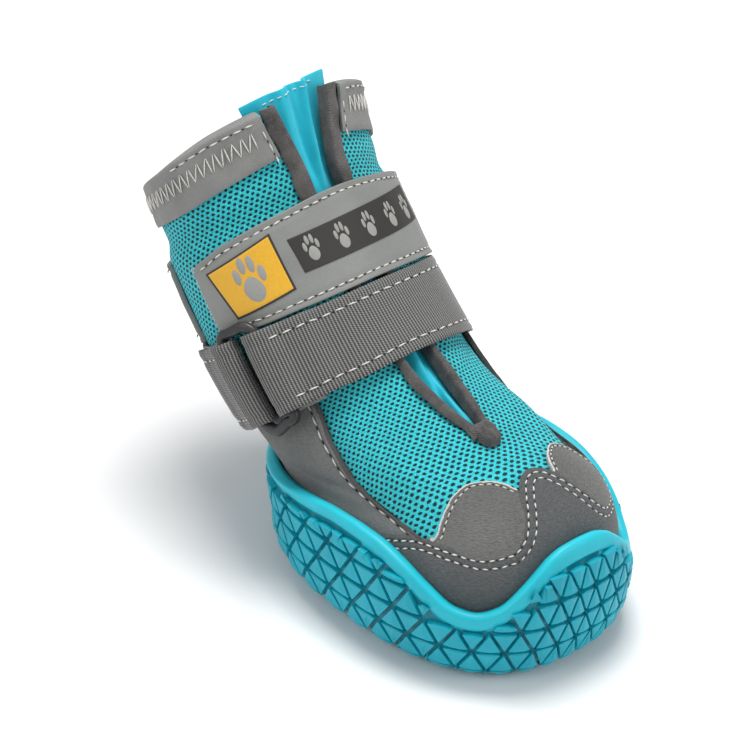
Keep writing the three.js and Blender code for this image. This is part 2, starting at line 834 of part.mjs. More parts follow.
// Loop tape under the cut end of the upper strap.
const loopTape = sheet((a, b) => {
  const u = tapeFar + (tapeNear - tapeFar) * a;
  const low = along(bandEdges.around, bandEdges.low, Math.abs(u)) + 0.004;
  const high = along(bandEdges.around, bandEdges.high, Math.abs(u)) - 0.004;
  return [u, low + (high - low) * b];
}, coverIn, coverOut, 6, 3);
place("loop_tape", loopTape, tones.tape);

// Lower strap: ribbed webbing from the ring side round the back and across the front, then folded round
// the ring's bar with its end tucked under.
const webbingPath = [];
const webbingRun = 44;
for (let k = 0; k <= webbingRun; k += 1) {
  webbingPath.push([webbingTail + (-0.200 - webbingTail) * k / webbingRun, strapIn]);
}
const overTail = strapIn + webbingThickness + gap;
webbingPath.push([webbingUnder + 0.030, overTail]);
webbingPath.push([webbingUnder - 0.030, overTail + 0.6]);
webbingPath.push([ringBarStrap + 0.030, barCentre + barRadius + barSlack - 0.7]);
place("strap_webbing", strap(foldStations(ringBarStrap, 1, webbingPath, webbingUnder), webbingEdges, 3), tones.strap);

// Short webbing loop that holds the ring's other bar.
const loopPath = [
  [loopTail, overTail],
  [loopTail + 0.060, overTail + 0.2],
  [ringBarLoop - 0.045, overTail + 1.5],
  [ringBarLoop - 0.022, barCentre + barRadius + barSlack - 0.4],
];
place("ring_loop", strap(foldStations(ringBarLoop, -1, loopPath, loopTail), webbingEdges, 3), tones.strap);

// Ring: rounded frame of round bar, longer than the webbing is wide. Its centre line is a rounded
// rectangle round the straps' edges, swept with an eight-sided section.
const ringCorner = 2.2;
function ringPath() {
  const path = [];
  const cornerU = ringCorner / halfGirth(0.62);
  const quarter = Math.PI / 2;
  const corners = [
    { bar: ringBarStrap, high: true, start: 0 },
    { bar: ringBarLoop, high: true, start: quarter },
    { bar: ringBarLoop, high: false, start: 2 * quarter },
    { bar: ringBarStrap, high: false, start: 3 * quarter },
  ];
  for (const c of corners) {
    const u = c.bar + (c.bar === ringBarLoop ? cornerU : -cornerU);
    const column = c.high ? webbingEdges.high : webbingEdges.low;
    const both = [c.bar, u].map((w) => along(webbingEdges.around, column, Math.abs(w)));
    const edge = c.high ? Math.max(...both) : Math.min(...both);
    const reach = rise(barSlack + barRadius - ringCorner, u, edge);
    const v = edge + (c.high ? reach : -reach);
    for (let k = 0; k <= 3; k += 1) {
      const angle = c.start + quarter * k / 3;
      path.push([u + cornerU * Math.cos(angle), v + rise(ringCorner, u, edge) * Math.sin(angle)]);
    }
    if (c.bar === ringBarLoop && c.high || c.bar === ringBarStrap && !c.high) {
      const next = corners[(corners.indexOf(c) + 1) % 4];
      const nextEdge = along(webbingEdges.around, next.high ? webbingEdges.high : webbingEdges.low,
        Math.abs(c.bar));
      path.push([c.bar, v + (nextEdge - edge) * 0.33]);
      path.push([c.bar, v + (nextEdge - edge) * 0.66]);
    }
  }
  return path;
}
function ring() {
  const path = ringPath();
  const count = path.length;
  const spots = path.map(([u, v]) => at(u, v, barCentre));
  const rings = spots.map((p, i) => {
    const along1 = unit(minus(spots[(i + 1) % count], spots[(i + count - 1) % count]));
    const normal = faceNormal(path[i][0], path[i][1]);
    const sideways = unit(cross(along1, normal));
    const upright = unit(cross(sideways, along1));
    const section = [];
    for (let k = 0; k < 8; k += 1) {
      const c = Math.cos(2 * Math.PI * k / 8) * barRadius;
      const d = Math.sin(2 * Math.PI * k / 8) * barRadius;
      section.push([0, 1, 2].map((m) => p[m] + sideways[m] * c + upright[m] * d));
    }
    return section;
  });
  return loft(rings, true, []);
}
place("ring", ring(), tones.ring);

export default group;
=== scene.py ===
import math
import random

import bmesh
import bpy
import numpy as np
from mathutils import Matrix, Vector


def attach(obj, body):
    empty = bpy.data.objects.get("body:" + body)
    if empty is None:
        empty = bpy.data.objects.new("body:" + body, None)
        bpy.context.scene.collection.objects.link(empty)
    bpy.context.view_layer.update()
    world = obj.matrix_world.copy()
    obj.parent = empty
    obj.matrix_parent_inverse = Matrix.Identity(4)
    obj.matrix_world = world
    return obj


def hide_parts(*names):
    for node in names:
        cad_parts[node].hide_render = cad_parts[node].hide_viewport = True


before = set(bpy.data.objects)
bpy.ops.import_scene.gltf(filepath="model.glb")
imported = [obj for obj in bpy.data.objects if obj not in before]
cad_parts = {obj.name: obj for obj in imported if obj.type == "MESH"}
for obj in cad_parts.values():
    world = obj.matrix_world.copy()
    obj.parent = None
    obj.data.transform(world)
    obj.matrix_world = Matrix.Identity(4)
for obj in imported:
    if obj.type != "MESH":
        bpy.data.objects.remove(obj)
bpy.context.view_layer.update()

# Outsole. One cup of teal rubber, moulded with triangular lugs under the foot, round the edge and up the
# toe bumper, and a smooth band along its rim. The rim dips at the front corners and peaks at the toe.
foot_length = 73.2
foot_width = 60.0
boot_height = 96.0
sections = np.array([
    # front y, front z, back y, back z, half width, squareness, sag
    [-0.500, 0.047, 0.500, 0.047, 0.450, 2.5, 0.0],
    [-0.508, 0.146, 0.514, 0.115, 0.460, 2.5, 0.0],
    [-0.500, 0.260, 0.541, 0.177, 0.458, 2.5, 0.008],
    [-0.451, 0.354, 0.594, 0.234, 0.444, 2.4, 0.042],
    [-0.321, 0.410, 0.663, 0.286, 0.430, 2.3, 0.100],
    [-0.123, 0.4375, 0.745, 0.339, 0.430, 2.2, 0.117],
    [0.102, 0.490, 0.827, 0.385, 0.437, 2.1, 0.092],
    [0.301, 0.578, 0.915, 0.4375, 0.443, 2.1, 0.058],
    [0.478, 0.6875, 1.004, 0.500, 0.443, 2.1, 0.030],
    [0.628, 0.807, 1.093, 0.568, 0.443, 2.1, 0.013],
    [0.724, 0.917, 1.168, 0.641, 0.447, 2.1, 0.005],
    [0.779, 1.000, 1.216, 0.703, 0.455, 2.1, 0.0],
])
section_scale = np.array([foot_length, boot_height, foot_length, boot_height, foot_width, 1.0, foot_width])


def section_row(v):
    """The section's seven sizes at share v of the way up, on a smooth curve through the rows."""
    last = len(sections) - 1
    if v > 1:
        return (sections[last] + (sections[last] - sections[last - 1]) * (v - 1) * last) * section_scale
    t = max(v, 0.0) * last
    i = min(int(t), last - 1)
    f = t - i
    p1 = sections[i]
    p2 = sections[i + 1]
    p0 = sections[i - 1] if i > 0 else 2 * p1 - p2
    p3 = sections[i + 2] if i < last - 1 else 2 * p2 - p1
    row = 0.5 * (2 * p1 + (p2 - p0) * f + (2 * p0 - 5 * p1 + 4 * p2 - p3) * f * f
                 + (3 * p1 - p0 - 3 * p2 + p3) * f ** 3)
    return row * section_scale


up_steps = 560
up_limit = 1.12
round_steps = 360
face_points = np.zeros((up_steps + 1, round_steps + 1, 3))
half_girth = np.zeros(up_steps + 1)
for i in range(up_steps + 1):
    front_y, front_z, back_y, back_z, half, square, sag = section_row(up_limit * i / up_steps)
    turn = np.linspace(0, math.pi, 145)
    power = 2 / square
    length = -np.sign(np.cos(turn)) * np.abs(np.cos(turn)) ** power
    x = half * np.abs(np.sin(turn)) ** power
    y = (front_y + back_y) / 2 + length * (back_y - front_y) / 2
    z = (front_z + back_z) / 2 + length * (back_z - front_z) / 2 - sag * (x / half) ** 2
    walked = np.concatenate([[0], np.cumsum(np.sqrt(np.diff(x) ** 2 + np.diff(y) ** 2 + np.diff(z) ** 2))])
    places = np.linspace(0, walked[-1], round_steps + 1)
    face_points[i, :, 0] = np.interp(places, walked, x)
    face_points[i, :, 1] = np.interp(places, walked, y)
    face_points[i, :, 2] = np.interp(places, walked, z)
    half_girth[i] = walked[-1]
mirrored = face_points[:, :0:-1] * np.array([-1, 1, 1])
whole_face = np.concatenate([mirrored, face_points], axis=1)
wide = np.concatenate([whole_face[:, -4:-1], whole_face, whole_face[:, 1:4]], axis=1)
step_round = wide[:, 6:] - wide[:, :-6]
step_up = np.gradient(whole_face, axis=0)
face_normals = np.cross(step_round, step_up)
face_normals /= np.linalg.norm(face_normals, axis=2, keepdims=True) + 1e-12
climbed = np.concatenate([
    np.zeros((1, whole_face.shape[1])),
    np.cumsum(np.linalg.norm(np.diff(whole_face, axis=0), axis=2), axis=0),
])


def sample(table, u, v):
    """Value of a table laid over the face, at u round the girth (-1 to 1) and v up the sections."""
    u = (np.asarray(u, float) + 1) % 2
    v = np.clip(np.asarray(v, float), 0, up_limit)
    columns = table.shape[1] - 1
    x = np.clip(u / 2 * columns, 0, columns - 1e-6)
    y = np.clip(v / up_limit * up_steps, 0, up_steps - 1e-6)
    i = y.astype(int)
    j = x.astype(int)
    fy = y - i
    fx = x - j
    if table.ndim == 3:
        fy = fy[..., None]
        fx = fx[..., None]
    low = table[i, j] * (1 - fx) + table[i, j + 1] * fx
    high = table[i + 1, j] * (1 - fx) + table[i + 1, j + 1] * fx
    return low * (1 - fy) + high * fy


def lay(u, v, off):
    """Points in millimetres at a distance off the upper's outer face."""
    u, v, off = np.broadcast_arrays(np.asarray(u, float), np.asarray(v, float), np.asarray(off, float))
    return sample(whole_face, u, v) + sample(face_normals, u, v) * off[..., None]


def girth_at(v):
    return np.interp(v, np.linspace(0, up_limit, up_steps + 1), half_girth)


def climb_at(u, v):
    """Millimetres for one whole unit of v at a place."""
    return (sample(climbed, u, np.asarray(v) + 0.01) - sample(climbed, u, np.asarray(v) - 0.01)) / 0.02


def walked_along(points):
    """Length walked to each point of a path from its start."""
    return np.concatenate([[0], np.cumsum(np.linalg.norm(np.diff(points, axis=0), axis=1))])


def along(places, values, x):
    """A soft curve through named places that never overshoots."""
    places = np.asarray(places, float)
    values = np.asarray(values, float)
    x = np.clip(np.asarray(x, float), places[0], places[-1])
    slopes = np.diff(values) / np.diff(places)
    tangents = np.zeros(len(places))
    inner = slopes[:-1] * slopes[1:]
    good = inner > 0
    tangents[1:-1][good] = 2 * inner[good] / (slopes[:-1][good] + slopes[1:][good])
    i = np.clip(np.searchsorted(places, x, side="right") - 1, 0, len(places) - 2)
    span = places[i + 1] - places[i]
    f = (x - places[i]) / span
    a = values[i]
    b = values[i + 1]
    m0 = tangents[i] * span
    m1 = tangents[i + 1] * span
    return a + f * (m0 + f * (3 * (b - a) - 2 * m0 - m1 + f * (2 * (a - b) + m0 + m1)))


def up_at_height(u, height):
    """Share of the way up at which the face reaches a height."""
    lo = np.zeros(np.shape(u))
    hi = np.full(np.shape(u), 0.3)
    for _ in range(26):
        mid = (lo + hi) / 2
        below = sample(whole_face, u, mid)[..., 2] < height
        lo = np.where(below, mid, lo)
        hi = np.where(below, hi, mid)
    return (lo + hi) / 2


rim_around = [0, 0.035, 0.067, 0.095, 0.133, 0.170, 0.210, 0.250, 0.295, 0.345, 0.395, 0.455, 0.530,
              0.700, 1]
rim_up = [0.238, 0.236, 0.226, 0.206, 0.172, 0.142, 0.130, 0.138, 0.170, 0.215, 0.256, 0.284, 0.300,
          0.296, 0.280]
lug_height = 1.6
floor_level = 5.0
ledge_level = 10.2
edge_height = 10.0
edge_inset = 6.5
cup_in = 1.6
cup_out = 4.0
rim_band = 3.2
rim_bulge = 0.6
round_length = 11.6
cup_columns = 192
row_under = 3
row_round = 13
row_wall = 25
row_band = 35
row_crest = 38
row_inside = 42
row_count = 44
under_shares = [0, 0.4, 0.8, 1]


def rim_at(u):
    return along(rim_around, rim_up, np.abs((np.asarray(u, float) + 1) % 2 - 1))


def wall_length(u):
    """Length of the lugged wall from the flat underside to the rim band."""
    start = up_at_height(u, edge_height)
    return round_length + sample(climbed, u, rim_at(u)) - sample(climbed, u, start) - rim_band


def cup_spot(u, length_up):
    """Point on the cup's outer face, a walked length up from the edge of the flat underside."""
    u, length_up = np.broadcast_arrays(np.asarray(u, float), np.asarray(length_up, float))
    start = up_at_height(u, edge_height)
    turn = np.clip(length_up / round_length, 0, 1) * math.pi / 2
    rounded = lay(u, start, cup_out - edge_inset * (1 - np.sin(turn)))
    rounded[..., 2] = lug_height + (edge_height - lug_height) * (1 - np.cos(turn))
    above = np.clip(length_up - round_length, 0, None)
    upright = lay(u, start + above / climb_at(u, start + 0.04), cup_out)
    return np.where((length_up > round_length)[..., None], upright, rounded)


def grid_piece(name, across, upward, place, closed=False, flip=False, marks=None):
    """A grid laid into place: place takes arrays a and b from 0 to 1 and gives points in millimetres."""
    shape = bmesh.new()
    bmesh.ops.create_grid(shape, x_segments=across, y_segments=upward, size=0.5)
    spots = np.array([corner.co[:2] for corner in shape.verts]) + 0.5
    points = place(spots[:, 0], spots[:, 1]) * 0.001
    if marks is not None:
        layer = shape.loops.layers.uv.new("cloth")
        shape.verts.index_update()
        loops = [loop for patch in shape.faces for loop in patch.loops]
        owners = np.array([loop.vert.index for loop in loops])
        middles = np.repeat(spots[owners].reshape(-1, 4, 2).mean(axis=1), 4, axis=0)
        flat = marks(spots[owners, 0], spots[owners, 1], middles[:, 0])
        for loop, mark in zip(loops, flat):
            loop[layer].uv = mark
    for corner, point in zip(shape.verts, points):
        corner.co = point
    if closed:
        bmesh.ops.remove_doubles(shape, verts=shape.verts, dist=1e-6)
        bmesh.ops.recalc_face_normals(shape, faces=shape.faces)
    if flip:
        bmesh.ops.reverse_faces(shape, faces=shape.faces)
    return finish_piece(name, shape)


def finish_piece(name, shape, smooth=True):
    for patch in shape.faces:
        patch.smooth = smooth
    data = bpy.data.meshes.new(name)
    shape.to_mesh(data)
    shape.free()
    piece = bpy.data.objects.new(name, data)
    bpy.context.collection.objects.link(piece)
    return piece


def cup_ring_points(a, b):
    """Profile of the cup from the middle of its underside up the outside, over the rim, in to the floor."""
    u = 2 * a - 1
    rim = rim_at(u)
    limit = wall_length(u)
    low = up_at_height(u, ledge_level)
    k = np.rint(b * row_count).astype(int)
    points = np.zeros((len(a), 3))
    edge = cup_spot(u, 0 * u)
    inner_low = lay(u, low, cup_in)
    for row in range(row_count + 1):
        pick = k == row
        if not pick.any():
            continue
        w = u[pick]
        if row <= row_under:
            spot = edge[pick] * under_shares[row]
            spot[:, 2] = lug_height
        elif row <= row_round:
            spot = cup_spot(w, round_length * (row - row_under) / (row_round - row_under))
        elif row <= row_wall:
            above = (limit[pick] - round_length) * (row - row_round) / (row_wall - row_round)
            spot = cup_spot(w, round_length + above)
        elif row <= row_band:
            share = (row - row_wall - 1) / (row_band - row_wall - 1)
            swing = min(max((share + 0.06) / 1.12, 0), 1)
            bulge = rim_bulge * np.clip(np.sin(math.pi * swing), 0, 1) ** 0.35
            v = rim[pick] - rim_band * (1 - share) / climb_at(w, rim[pick])
            spot = lay(w, v, cup_out + bulge)
        elif row <= row_crest:
            bend = (row - row_band) / (row_crest - row_band) * math.pi / 2
            half = (cup_out - cup_in) / 2
            lift = 0.5 * np.sin(2 * bend)
            inward = cup_out - 2 * half * (1 - math.cos(bend))
            spot = lay(w, rim[pick] + lift / climb_at(w, rim[pick]), inward)
        elif row <= row_inside:
            sunk = (low[pick] - rim[pick]) * (row - row_crest) / (row_inside - row_crest)
            spot = lay(w, rim[pick] + sunk, cup_in)
        else:
            spot = inner_low[pick] * (0 if row == row_count else 1)
            spot[:, 2] = floor_level
        points[pick] = spot
    return points


rubber_cup = grid_piece("rubber_cup", cup_columns, row_count, cup_ring_points, closed=True)

# Lugs under the foot stand on a lattice of triangles; one of its three sets of grooves runs toe to heel.
lug_pitch = 6.3
lug_share = 0.80
lattice_across = 8
lattice_along = 12


def add_lug(shape, corners, low, high):
    """One triangular lug on three corners of the flat lattice, from its root up to its narrower top."""
    corners = np.array(corners)
    order = np.argsort(np.arctan2(*(corners - corners.mean(axis=0)).T[::-1]))
    corners = corners[order]
    middle = np.mean(corners, axis=0)
    made = bmesh.ops.create_cone(shape, cap_ends=True, cap_tris=False, segments=3,
                                 radius1=1, radius2=1, depth=1)
    for level, share in ((low, 1.06), (high, 0.97)):
        ring = [corner for corner in made["verts"] if (corner.co.z > 0) == (level == high)]
        ring.sort(key=lambda corner: math.atan2(corner.co.y, corner.co.x))
        for corner, spot in zip(ring, corners):
            x, y = middle + (spot - middle) * lug_share * share
            corner.co = (x, y, level)


def ease_lugs(shape):
    bmesh.ops.recalc_face_normals(shape, faces=shape.faces)
    tops = [edge for edge in shape.edges if min(end.co.z for end in edge.verts) > 0.5]
    uprights = [edge for edge in shape.edges if abs(edge.verts[0].co.z - edge.verts[1].co.z) > 0.5]
    bmesh.ops.bevel(shape, geom=tops + uprights, offset=0.24, offset_type="OFFSET", segments=1, profile=0.5,
                    affect="EDGES", material=-1)


flat_edge = cup_spot(np.linspace(-1, 1, 361), np.full(361, 0.6))[:, :2]


def inside_edge(x, y):
    ends = np.roll(flat_edge, -1, axis=0)
    crosses = (flat_edge[:, 1] > y) != (ends[:, 1] > y)
    rise = np.where(crosses, ends[:, 1] - flat_edge[:, 1], 1)
    meet = (ends[:, 0] - flat_edge[:, 0]) * (y - flat_edge[:, 1]) / rise + flat_edge[:, 0]
    return (crosses & (x < meet)).sum() % 2 == 1


ground_lugs = bmesh.new()
lug_across = lug_pitch * math.sqrt(3) / 2
for i in range(-lattice_across, lattice_across):
    for j in range(-lattice_along, lattice_along):
        x0 = (i - 1 / 3) * lug_across
        y0 = (j - 0.5 + (i % 2) / 2) * lug_pitch
        for corners in (
            [(x0, y0), (x0 + lug_across, y0 + lug_pitch / 2), (x0, y0 + lug_pitch)],
            [(x0 + lug_across, y0 - lug_pitch / 2), (x0 + lug_across, y0 + lug_pitch / 2), (x0, y0)],
        ):
            if all(inside_edge(*corner) for corner in corners):
                add_lug(ground_lugs, corners, -0.4, lug_height)
ease_lugs(ground_lugs)
for corner in ground_lugs.verts:
    corner.co = Vector((corner.co.x, corner.co.y, lug_height - corner.co.z)) * 0.001
bmesh.ops.recalc_face_normals(ground_lugs, faces=ground_lugs.faces)
rubber_ground_lugs = finish_piece("rubber_ground_lugs", ground_lugs, smooth=False)

# Lugs of the wall run in rows round the shoe, and a row that meets the rim band is cut off by it.
wall_columns = 36
wall_rows = 7
wall_row = 5.5
wall_lugs = bmesh.new()


def column_u(place):
    share = (place / wall_columns * 2) % 2
    share = share if share <= 1 else share - 2
    return math.copysign(abs(share) - 0.040 * math.sin(2 * math.pi * abs(share)), share)


for k in range(wall_rows):
    for i in range(2 * wall_columns):
        upward = i % 2 == 0
        place = i / 2 + (k % 2) / 2
        base = 0.8 + k * wall_row
        limit = float(wall_length(np.array([column_u(place)]))[0]) - 0.35
        if base > limit - 1.3:
            continue
        point = (place, base + wall_row) if upward else (place, base)
        foot = base if upward else base + wall_row
        single = bmesh.new()
        add_lug(single, [point, (place - 0.5, foot), (place + 0.5, foot)], -0.7, lug_height * 0.95)
        bmesh.ops.bisect_plane(single, geom=single.verts[:] + single.edges[:] + single.faces[:],
                               plane_co=(0, limit, 0), plane_no=(0, 1, 0), clear_outer=True)
        bmesh.ops.holes_fill(single, edges=single.edges[:], sides=6)
        ease_lugs(single)
        single_data = bpy.data.meshes.new("single")
        single.to_mesh(single_data)
        single.free()
        wall_lugs.from_mesh(single_data)
        bpy.data.meshes.remove(single_data)
flat = np.array([corner.co[:] for corner in wall_lugs.verts])
lug_u = np.array([column_u(place) for place in flat[:, 0]])
spot = cup_spot(lug_u, flat[:, 1])
ahead = cup_spot(lug_u + 0.012, flat[:, 1]) - cup_spot(lug_u - 0.012, flat[:, 1])
upward = cup_spot(lug_u, flat[:, 1] + 0.5) - cup_spot(lug_u, np.clip(flat[:, 1] - 0.5, 0, None))
out = np.cross(ahead, upward)
out /= np.linalg.norm(out, axis=1, keepdims=True)
for corner, point in zip(wall_lugs.verts, (spot + out * flat[:, 2:3]) * 0.001):
    corner.co = point
bmesh.ops.recalc_face_normals(wall_lugs, faces=wall_lugs.faces)
rubber_wall_lugs = finish_piece("rubber_wall_lugs", wall_lugs, smooth=False)


def bare_material(name):
    paint = bpy.data.materials.new(name)
    paint.use_nodes = True
    return paint, paint.node_tree, paint.node_tree.nodes["Principled BSDF"]


def noise(tree, scale, detail=4.0, rough=0.55):
    """Noise texture read on the piece's own coordinates; scale is in spots per metre."""
    where = tree.nodes.new("ShaderNodeTexCoord")
    spots = tree.nodes.new("ShaderNodeTexNoise")
    spots.inputs["Scale"].default_value = scale
    spots.inputs["Detail"].default_value = detail
    spots.inputs["Roughness"].default_value = rough
    tree.links.new(where.outputs["Object"], spots.inputs["Vector"])
    return spots.outputs["Fac"]


def ramp(tree, value, stops):
    """Colour ramp over a value; stops are (place, colour)."""
    shade = tree.nodes.new("ShaderNodeValToRGB")
    band = shade.color_ramp
    band.elements[0].position = stops[0][0]
    band.elements[0].color = (*stops[0][1], 1)
    band.elements[1].position = stops[-1][0]
    band.elements[1].color = (*stops[-1][1], 1)
    for spot, tone in stops[1:-1]:
        extra = band.elements.new(spot)
        extra.color = (*tone, 1)
    tree.links.new(value, shade.inputs["Fac"])
    return shade.outputs["Color"]


def bump(tree, value, strength, depth):
    dent = tree.nodes.new("ShaderNodeBump")
    dent.inputs["Strength"].default_value = strength
    dent.inputs["Distance"].default_value = depth
    tree.links.new(value, dent.inputs["Height"])
    return dent.outputs["Normal"]


def surface(tree, shader, tone, roughness, relief=None, specular=None, sheen=None):
    """Gives a shader its colour, roughness, relief, gloss and down; each is a number or a step's result."""
    for name, value in (("Base Color", tone), ("Roughness", roughness), ("Normal", relief),
                        ("Specular IOR Level", specular), ("Sheen Weight", sheen)):
        if isinstance(value, (int, float)):
            shader.inputs[name].default_value = value
        elif value is not None:
            tree.links.new(value, shader.inputs[name])


band_u = np.linspace(-1, 1, 241)
band_v = rim_at(band_u)
outline_spots = lay(band_u, band_v - rim_band / climb_at(band_u, band_v), cup_out)
rim_feet = outline_spots[:, 2]


def teal_rubber(name, dark, light):
    """Moulded rubber: soft patches of tone and dust, a low uneven gloss and a faint moulded grain."""
    paint, tree, shader = bare_material(name)
    tone = ramp(tree, noise(tree, 90, 5), [(0.3, dark), (0.7, light)])
    gloss = ramp(tree, noise(tree, 400, 3), [(0.3, (0.36, 0.36, 0.36)), (0.7, (0.50, 0.50, 0.50))])
    surface(tree, shader, tone, gloss, bump(tree, noise(tree, 2600, 3), 0.10, 0.0001), specular=0.32)
    return paint


band_rubber = teal_rubber("band_rubber", (0.012, 0.440, 0.545), (0.018, 0.520, 0.630))
# Darker copy of the teal rubber for the floor between the wall lugs: painted shade in the grooves, not a
# rubber of its own.
groove_shade_rubber = teal_rubber("groove_shade_rubber", (0.003, 0.170, 0.225), (0.005, 0.220, 0.285))
lug_rubber = teal_rubber("lug_rubber", (0.005, 0.325, 0.425), (0.008, 0.400, 0.505))
rubber_cup.data.materials.append(band_rubber)
rubber_cup.data.materials.append(groove_shade_rubber)
# Cup faces below the rim band that do not face up take the darker copy: painted shade between the lugs.
for patch in rubber_cup.data.polygons:
    x, y, z = (part * 1000 for part in patch.center)
    around = np.linalg.norm(outline_spots[:, :2] - [x, y], axis=1).argmin()
    rim_foot = rim_feet[around]
    patch.material_index = 1 if z < rim_foot - 0.4 and patch.normal.z < 0.5 and z < 40 else 0
for piece in (rubber_ground_lugs, rubber_wall_lugs):
    piece.data.materials.append(lug_rubber)
for piece in (rubber_cup, rubber_ground_lugs, rubber_wall_lugs):
    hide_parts("outsole")
    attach(piece, "root")

# Upper. A stretchy teal air mesh, knitted with rows of small open holes and sewn into a sock that is open
# at the collar and along the throat; dark lining shows inside.
collar_around = [0, 0.150, 0.300, 0.420, 0.525, 0.700, 1]
collar_up = [1, 1, 0.993, 0.977, 0.962, 0.952, 0.950]
slit_up = [0.470, 0.493, 0.528, 0.592, 0.700, 0.840, 0.920, 1.000, 1.080]
slit_half = [0.9, 1.7, 2.7, 3.6, 3.5, 3.7, 5.2, 7.0, 8.4]
slit_tip = 0.470
upper_wall = 2.0
panel_top_around = [0.300, 0.450, 0.520, 0.600, 0.700, 0.850, 1]
panel_top_up = [0.640, 0.640, 0.600, 0.520, 0.460, 0.420, 0.410]


def turned(u):
    """Any u brought back between -1 and 1."""
    return (np.asarray(u, float) + 1) % 2 - 1


def collar_at(u):
    return along(collar_around, collar_up, np.abs(turned(u)))


def flap_edge(v):
    return along(slit_up, slit_half, v) + 1.3


def eased(x, low, high):
    share = np.clip((x - low) / (high - low), 0, 1)
    return share ** 2 * (3 - 2 * share)


def puff(u, v):
    """Soft folds of the mesh: pinched by the straps, puffed beside the panels and below."""
    w = np.abs(turned(u))
    rise = 1.9 * np.exp(-((v - 0.450) / 0.062) ** 2) * np.exp(-((w - 0.235) / 0.075) ** 2)
    rise = rise + 0.45 * np.exp(-((v - 0.862) / 0.022) ** 2) * np.exp(-((w - 0.34) / 0.30) ** 2)
    above = np.where(w < panel_top_around[0], 0.570, along(panel_top_around, panel_top_up, w))
    under_straps = eased(v, above + 0.006, above + 0.035) * (1 - eased(v, 0.795, 0.830))
    rise = rise + 1.25 * under_straps * eased(w, 0.085, 0.125)
    crease = np.exp(-((v - 0.525 - 0.16 * w) / 0.010) ** 2) * np.exp(-((w - 0.16) / 0.10) ** 2)
    lower = np.exp(-((v - 0.485 - 0.30 * w) / 0.009) ** 2) * np.exp(-((w - 0.22) / 0.07) ** 2)
    return rise - 0.45 * (crease + 0.7 * lower)


def sock_spot(a, b):
    """a runs from the heel seam (0) to the middle of the toe or, above the slit's tip, to its edge (1)."""
    guess = 0.45 + 0 * a
    for _ in range(3):
        open_by = flap_edge(guess) / girth_at(guess) * np.clip((guess - slit_tip + 0.014) / 0.016, 0, 1)
        u = 1 - a * (1 - open_by)
        low = up_at_height(u, ledge_level)
        guess = low + (collar_at(u) - low) * b
    return u, guess


sock = bmesh.new()
for side in (-1, 1):
    half = bmesh.ops.create_grid(sock, x_segments=88, y_segments=120, size=0.5)["verts"]
    spots = np.array([corner.co[:2] for corner in half]) + 0.5
    u, v = sock_spot(spots[:, 0], spots[:, 1])
    points = lay(side * u, v, puff(u, v)) * 0.001
    for corner, point in zip(half, points):
        corner.co = point
    if side > 0:
        sheet_faces = {patch for corner in half for patch in corner.link_faces}
        bmesh.ops.reverse_faces(sock, faces=list(sheet_faces))
bmesh.ops.remove_doubles(sock, verts=sock.verts, dist=1e-6)
sock.verts.ensure_lookup_table()
# The cloth is cut open along the heel, so that it can be laid flat.
for edge in sock.edges:
    middle = (edge.verts[0].co + edge.verts[1].co) / 2
    if max(abs(end.co.x) for end in edge.verts) < 1e-6 and middle.y > 0.012 + 0.3 * (middle.z - 0.02):
        edge.seam = True
mesh_sock = finish_piece("mesh_sock", sock)


def flatten(piece, along_from, along_to):
    """Lays the cloth out flat in millimetres, turned so that the line between two places on it runs up."""
    bpy.context.view_layer.objects.active = piece
    piece.select_set(True)
    bpy.ops.object.mode_set(mode="EDIT")
    bpy.ops.mesh.select_all(action="SELECT")
    bpy.ops.uv.unwrap(method="ANGLE_BASED", margin=0.0)
    bpy.ops.object.mode_set(mode="OBJECT")
    piece.select_set(False)
    data = piece.data
    layer = data.uv_layers.active.data
    flat = np.array([loop.uv[:] for loop in layer])
    spots = np.array([corner.co[:] for corner in data.vertices])
    owners = np.array([loop.vertex_index for loop in data.loops])
    starts = np.array([patch.loop_start for patch in data.polygons])
    solid_area = sum(patch.area for patch in data.polygons)
    one = flat[starts + 1] - flat[starts]
    two = flat[starts + 2] - flat[starts]
    three = flat[starts + 3] - flat[starts]
    flat_area = 0.5 * np.abs(one[:, 0] * two[:, 1] - one[:, 1] * two[:, 0]).sum()
    flat_area += 0.5 * np.abs(two[:, 0] * three[:, 1] - two[:, 1] * three[:, 0]).sum()
    size = math.sqrt(solid_area / flat_area) * 1000
    ends = []
    for place in (along_from, along_to):
        nearest = np.linalg.norm(spots[owners] - place, axis=1).argmin()
        ends.append(flat[nearest])
    run = ends[1] - ends[0]
    turn = math.pi / 2 - math.atan2(run[1], run[0])
    spin = np.array([[math.cos(turn), math.sin(turn)], [-math.sin(turn), math.cos(turn)]])
    flat = ((flat - ends[0]) @ spin) * size
    for loop, mark in zip(layer, flat):
        loop.uv = mark


flatten(mesh_sock, lay(0, 0.36, 0) * 0.001, lay(0, 0.44, 0) * 0.001)


def thicken(piece, thickness, ease=0.0, segments=2, inner_slot=0):
    """Gives a laid sheet its thickness, inward from the outer face, and eases its cut edges."""
    depth = piece.modifiers.new("thickness", "SOLIDIFY")
    depth.thickness = thickness * 0.001
    depth.offset = -1
    depth.use_even_offset = False
    depth.material_offset = inner_slot
    if ease:
        soft = piece.modifiers.new("eased_edge", "BEVEL")
        soft.width = ease * 0.001
        soft.segments = segments
        soft.limit_method = "ANGLE"
        soft.angle_limit = math.radians(50)


thicken(mesh_sock, upper_wall, 0.0, inner_slot=1)


def calc(tree, kind, first, second=None, third=None):
    """One arithmetic step; each input is a number or another step's result."""
    step = tree.nodes.new("ShaderNodeMath")
    step.operation = kind
    for place, value in enumerate((first, second, third)):
        if value is None:
            continue
        if isinstance(value, (int, float)):
            step.inputs[place].default_value = value
        else:
            tree.links.new(value, step.inputs[place])
    return step.outputs["Value"]


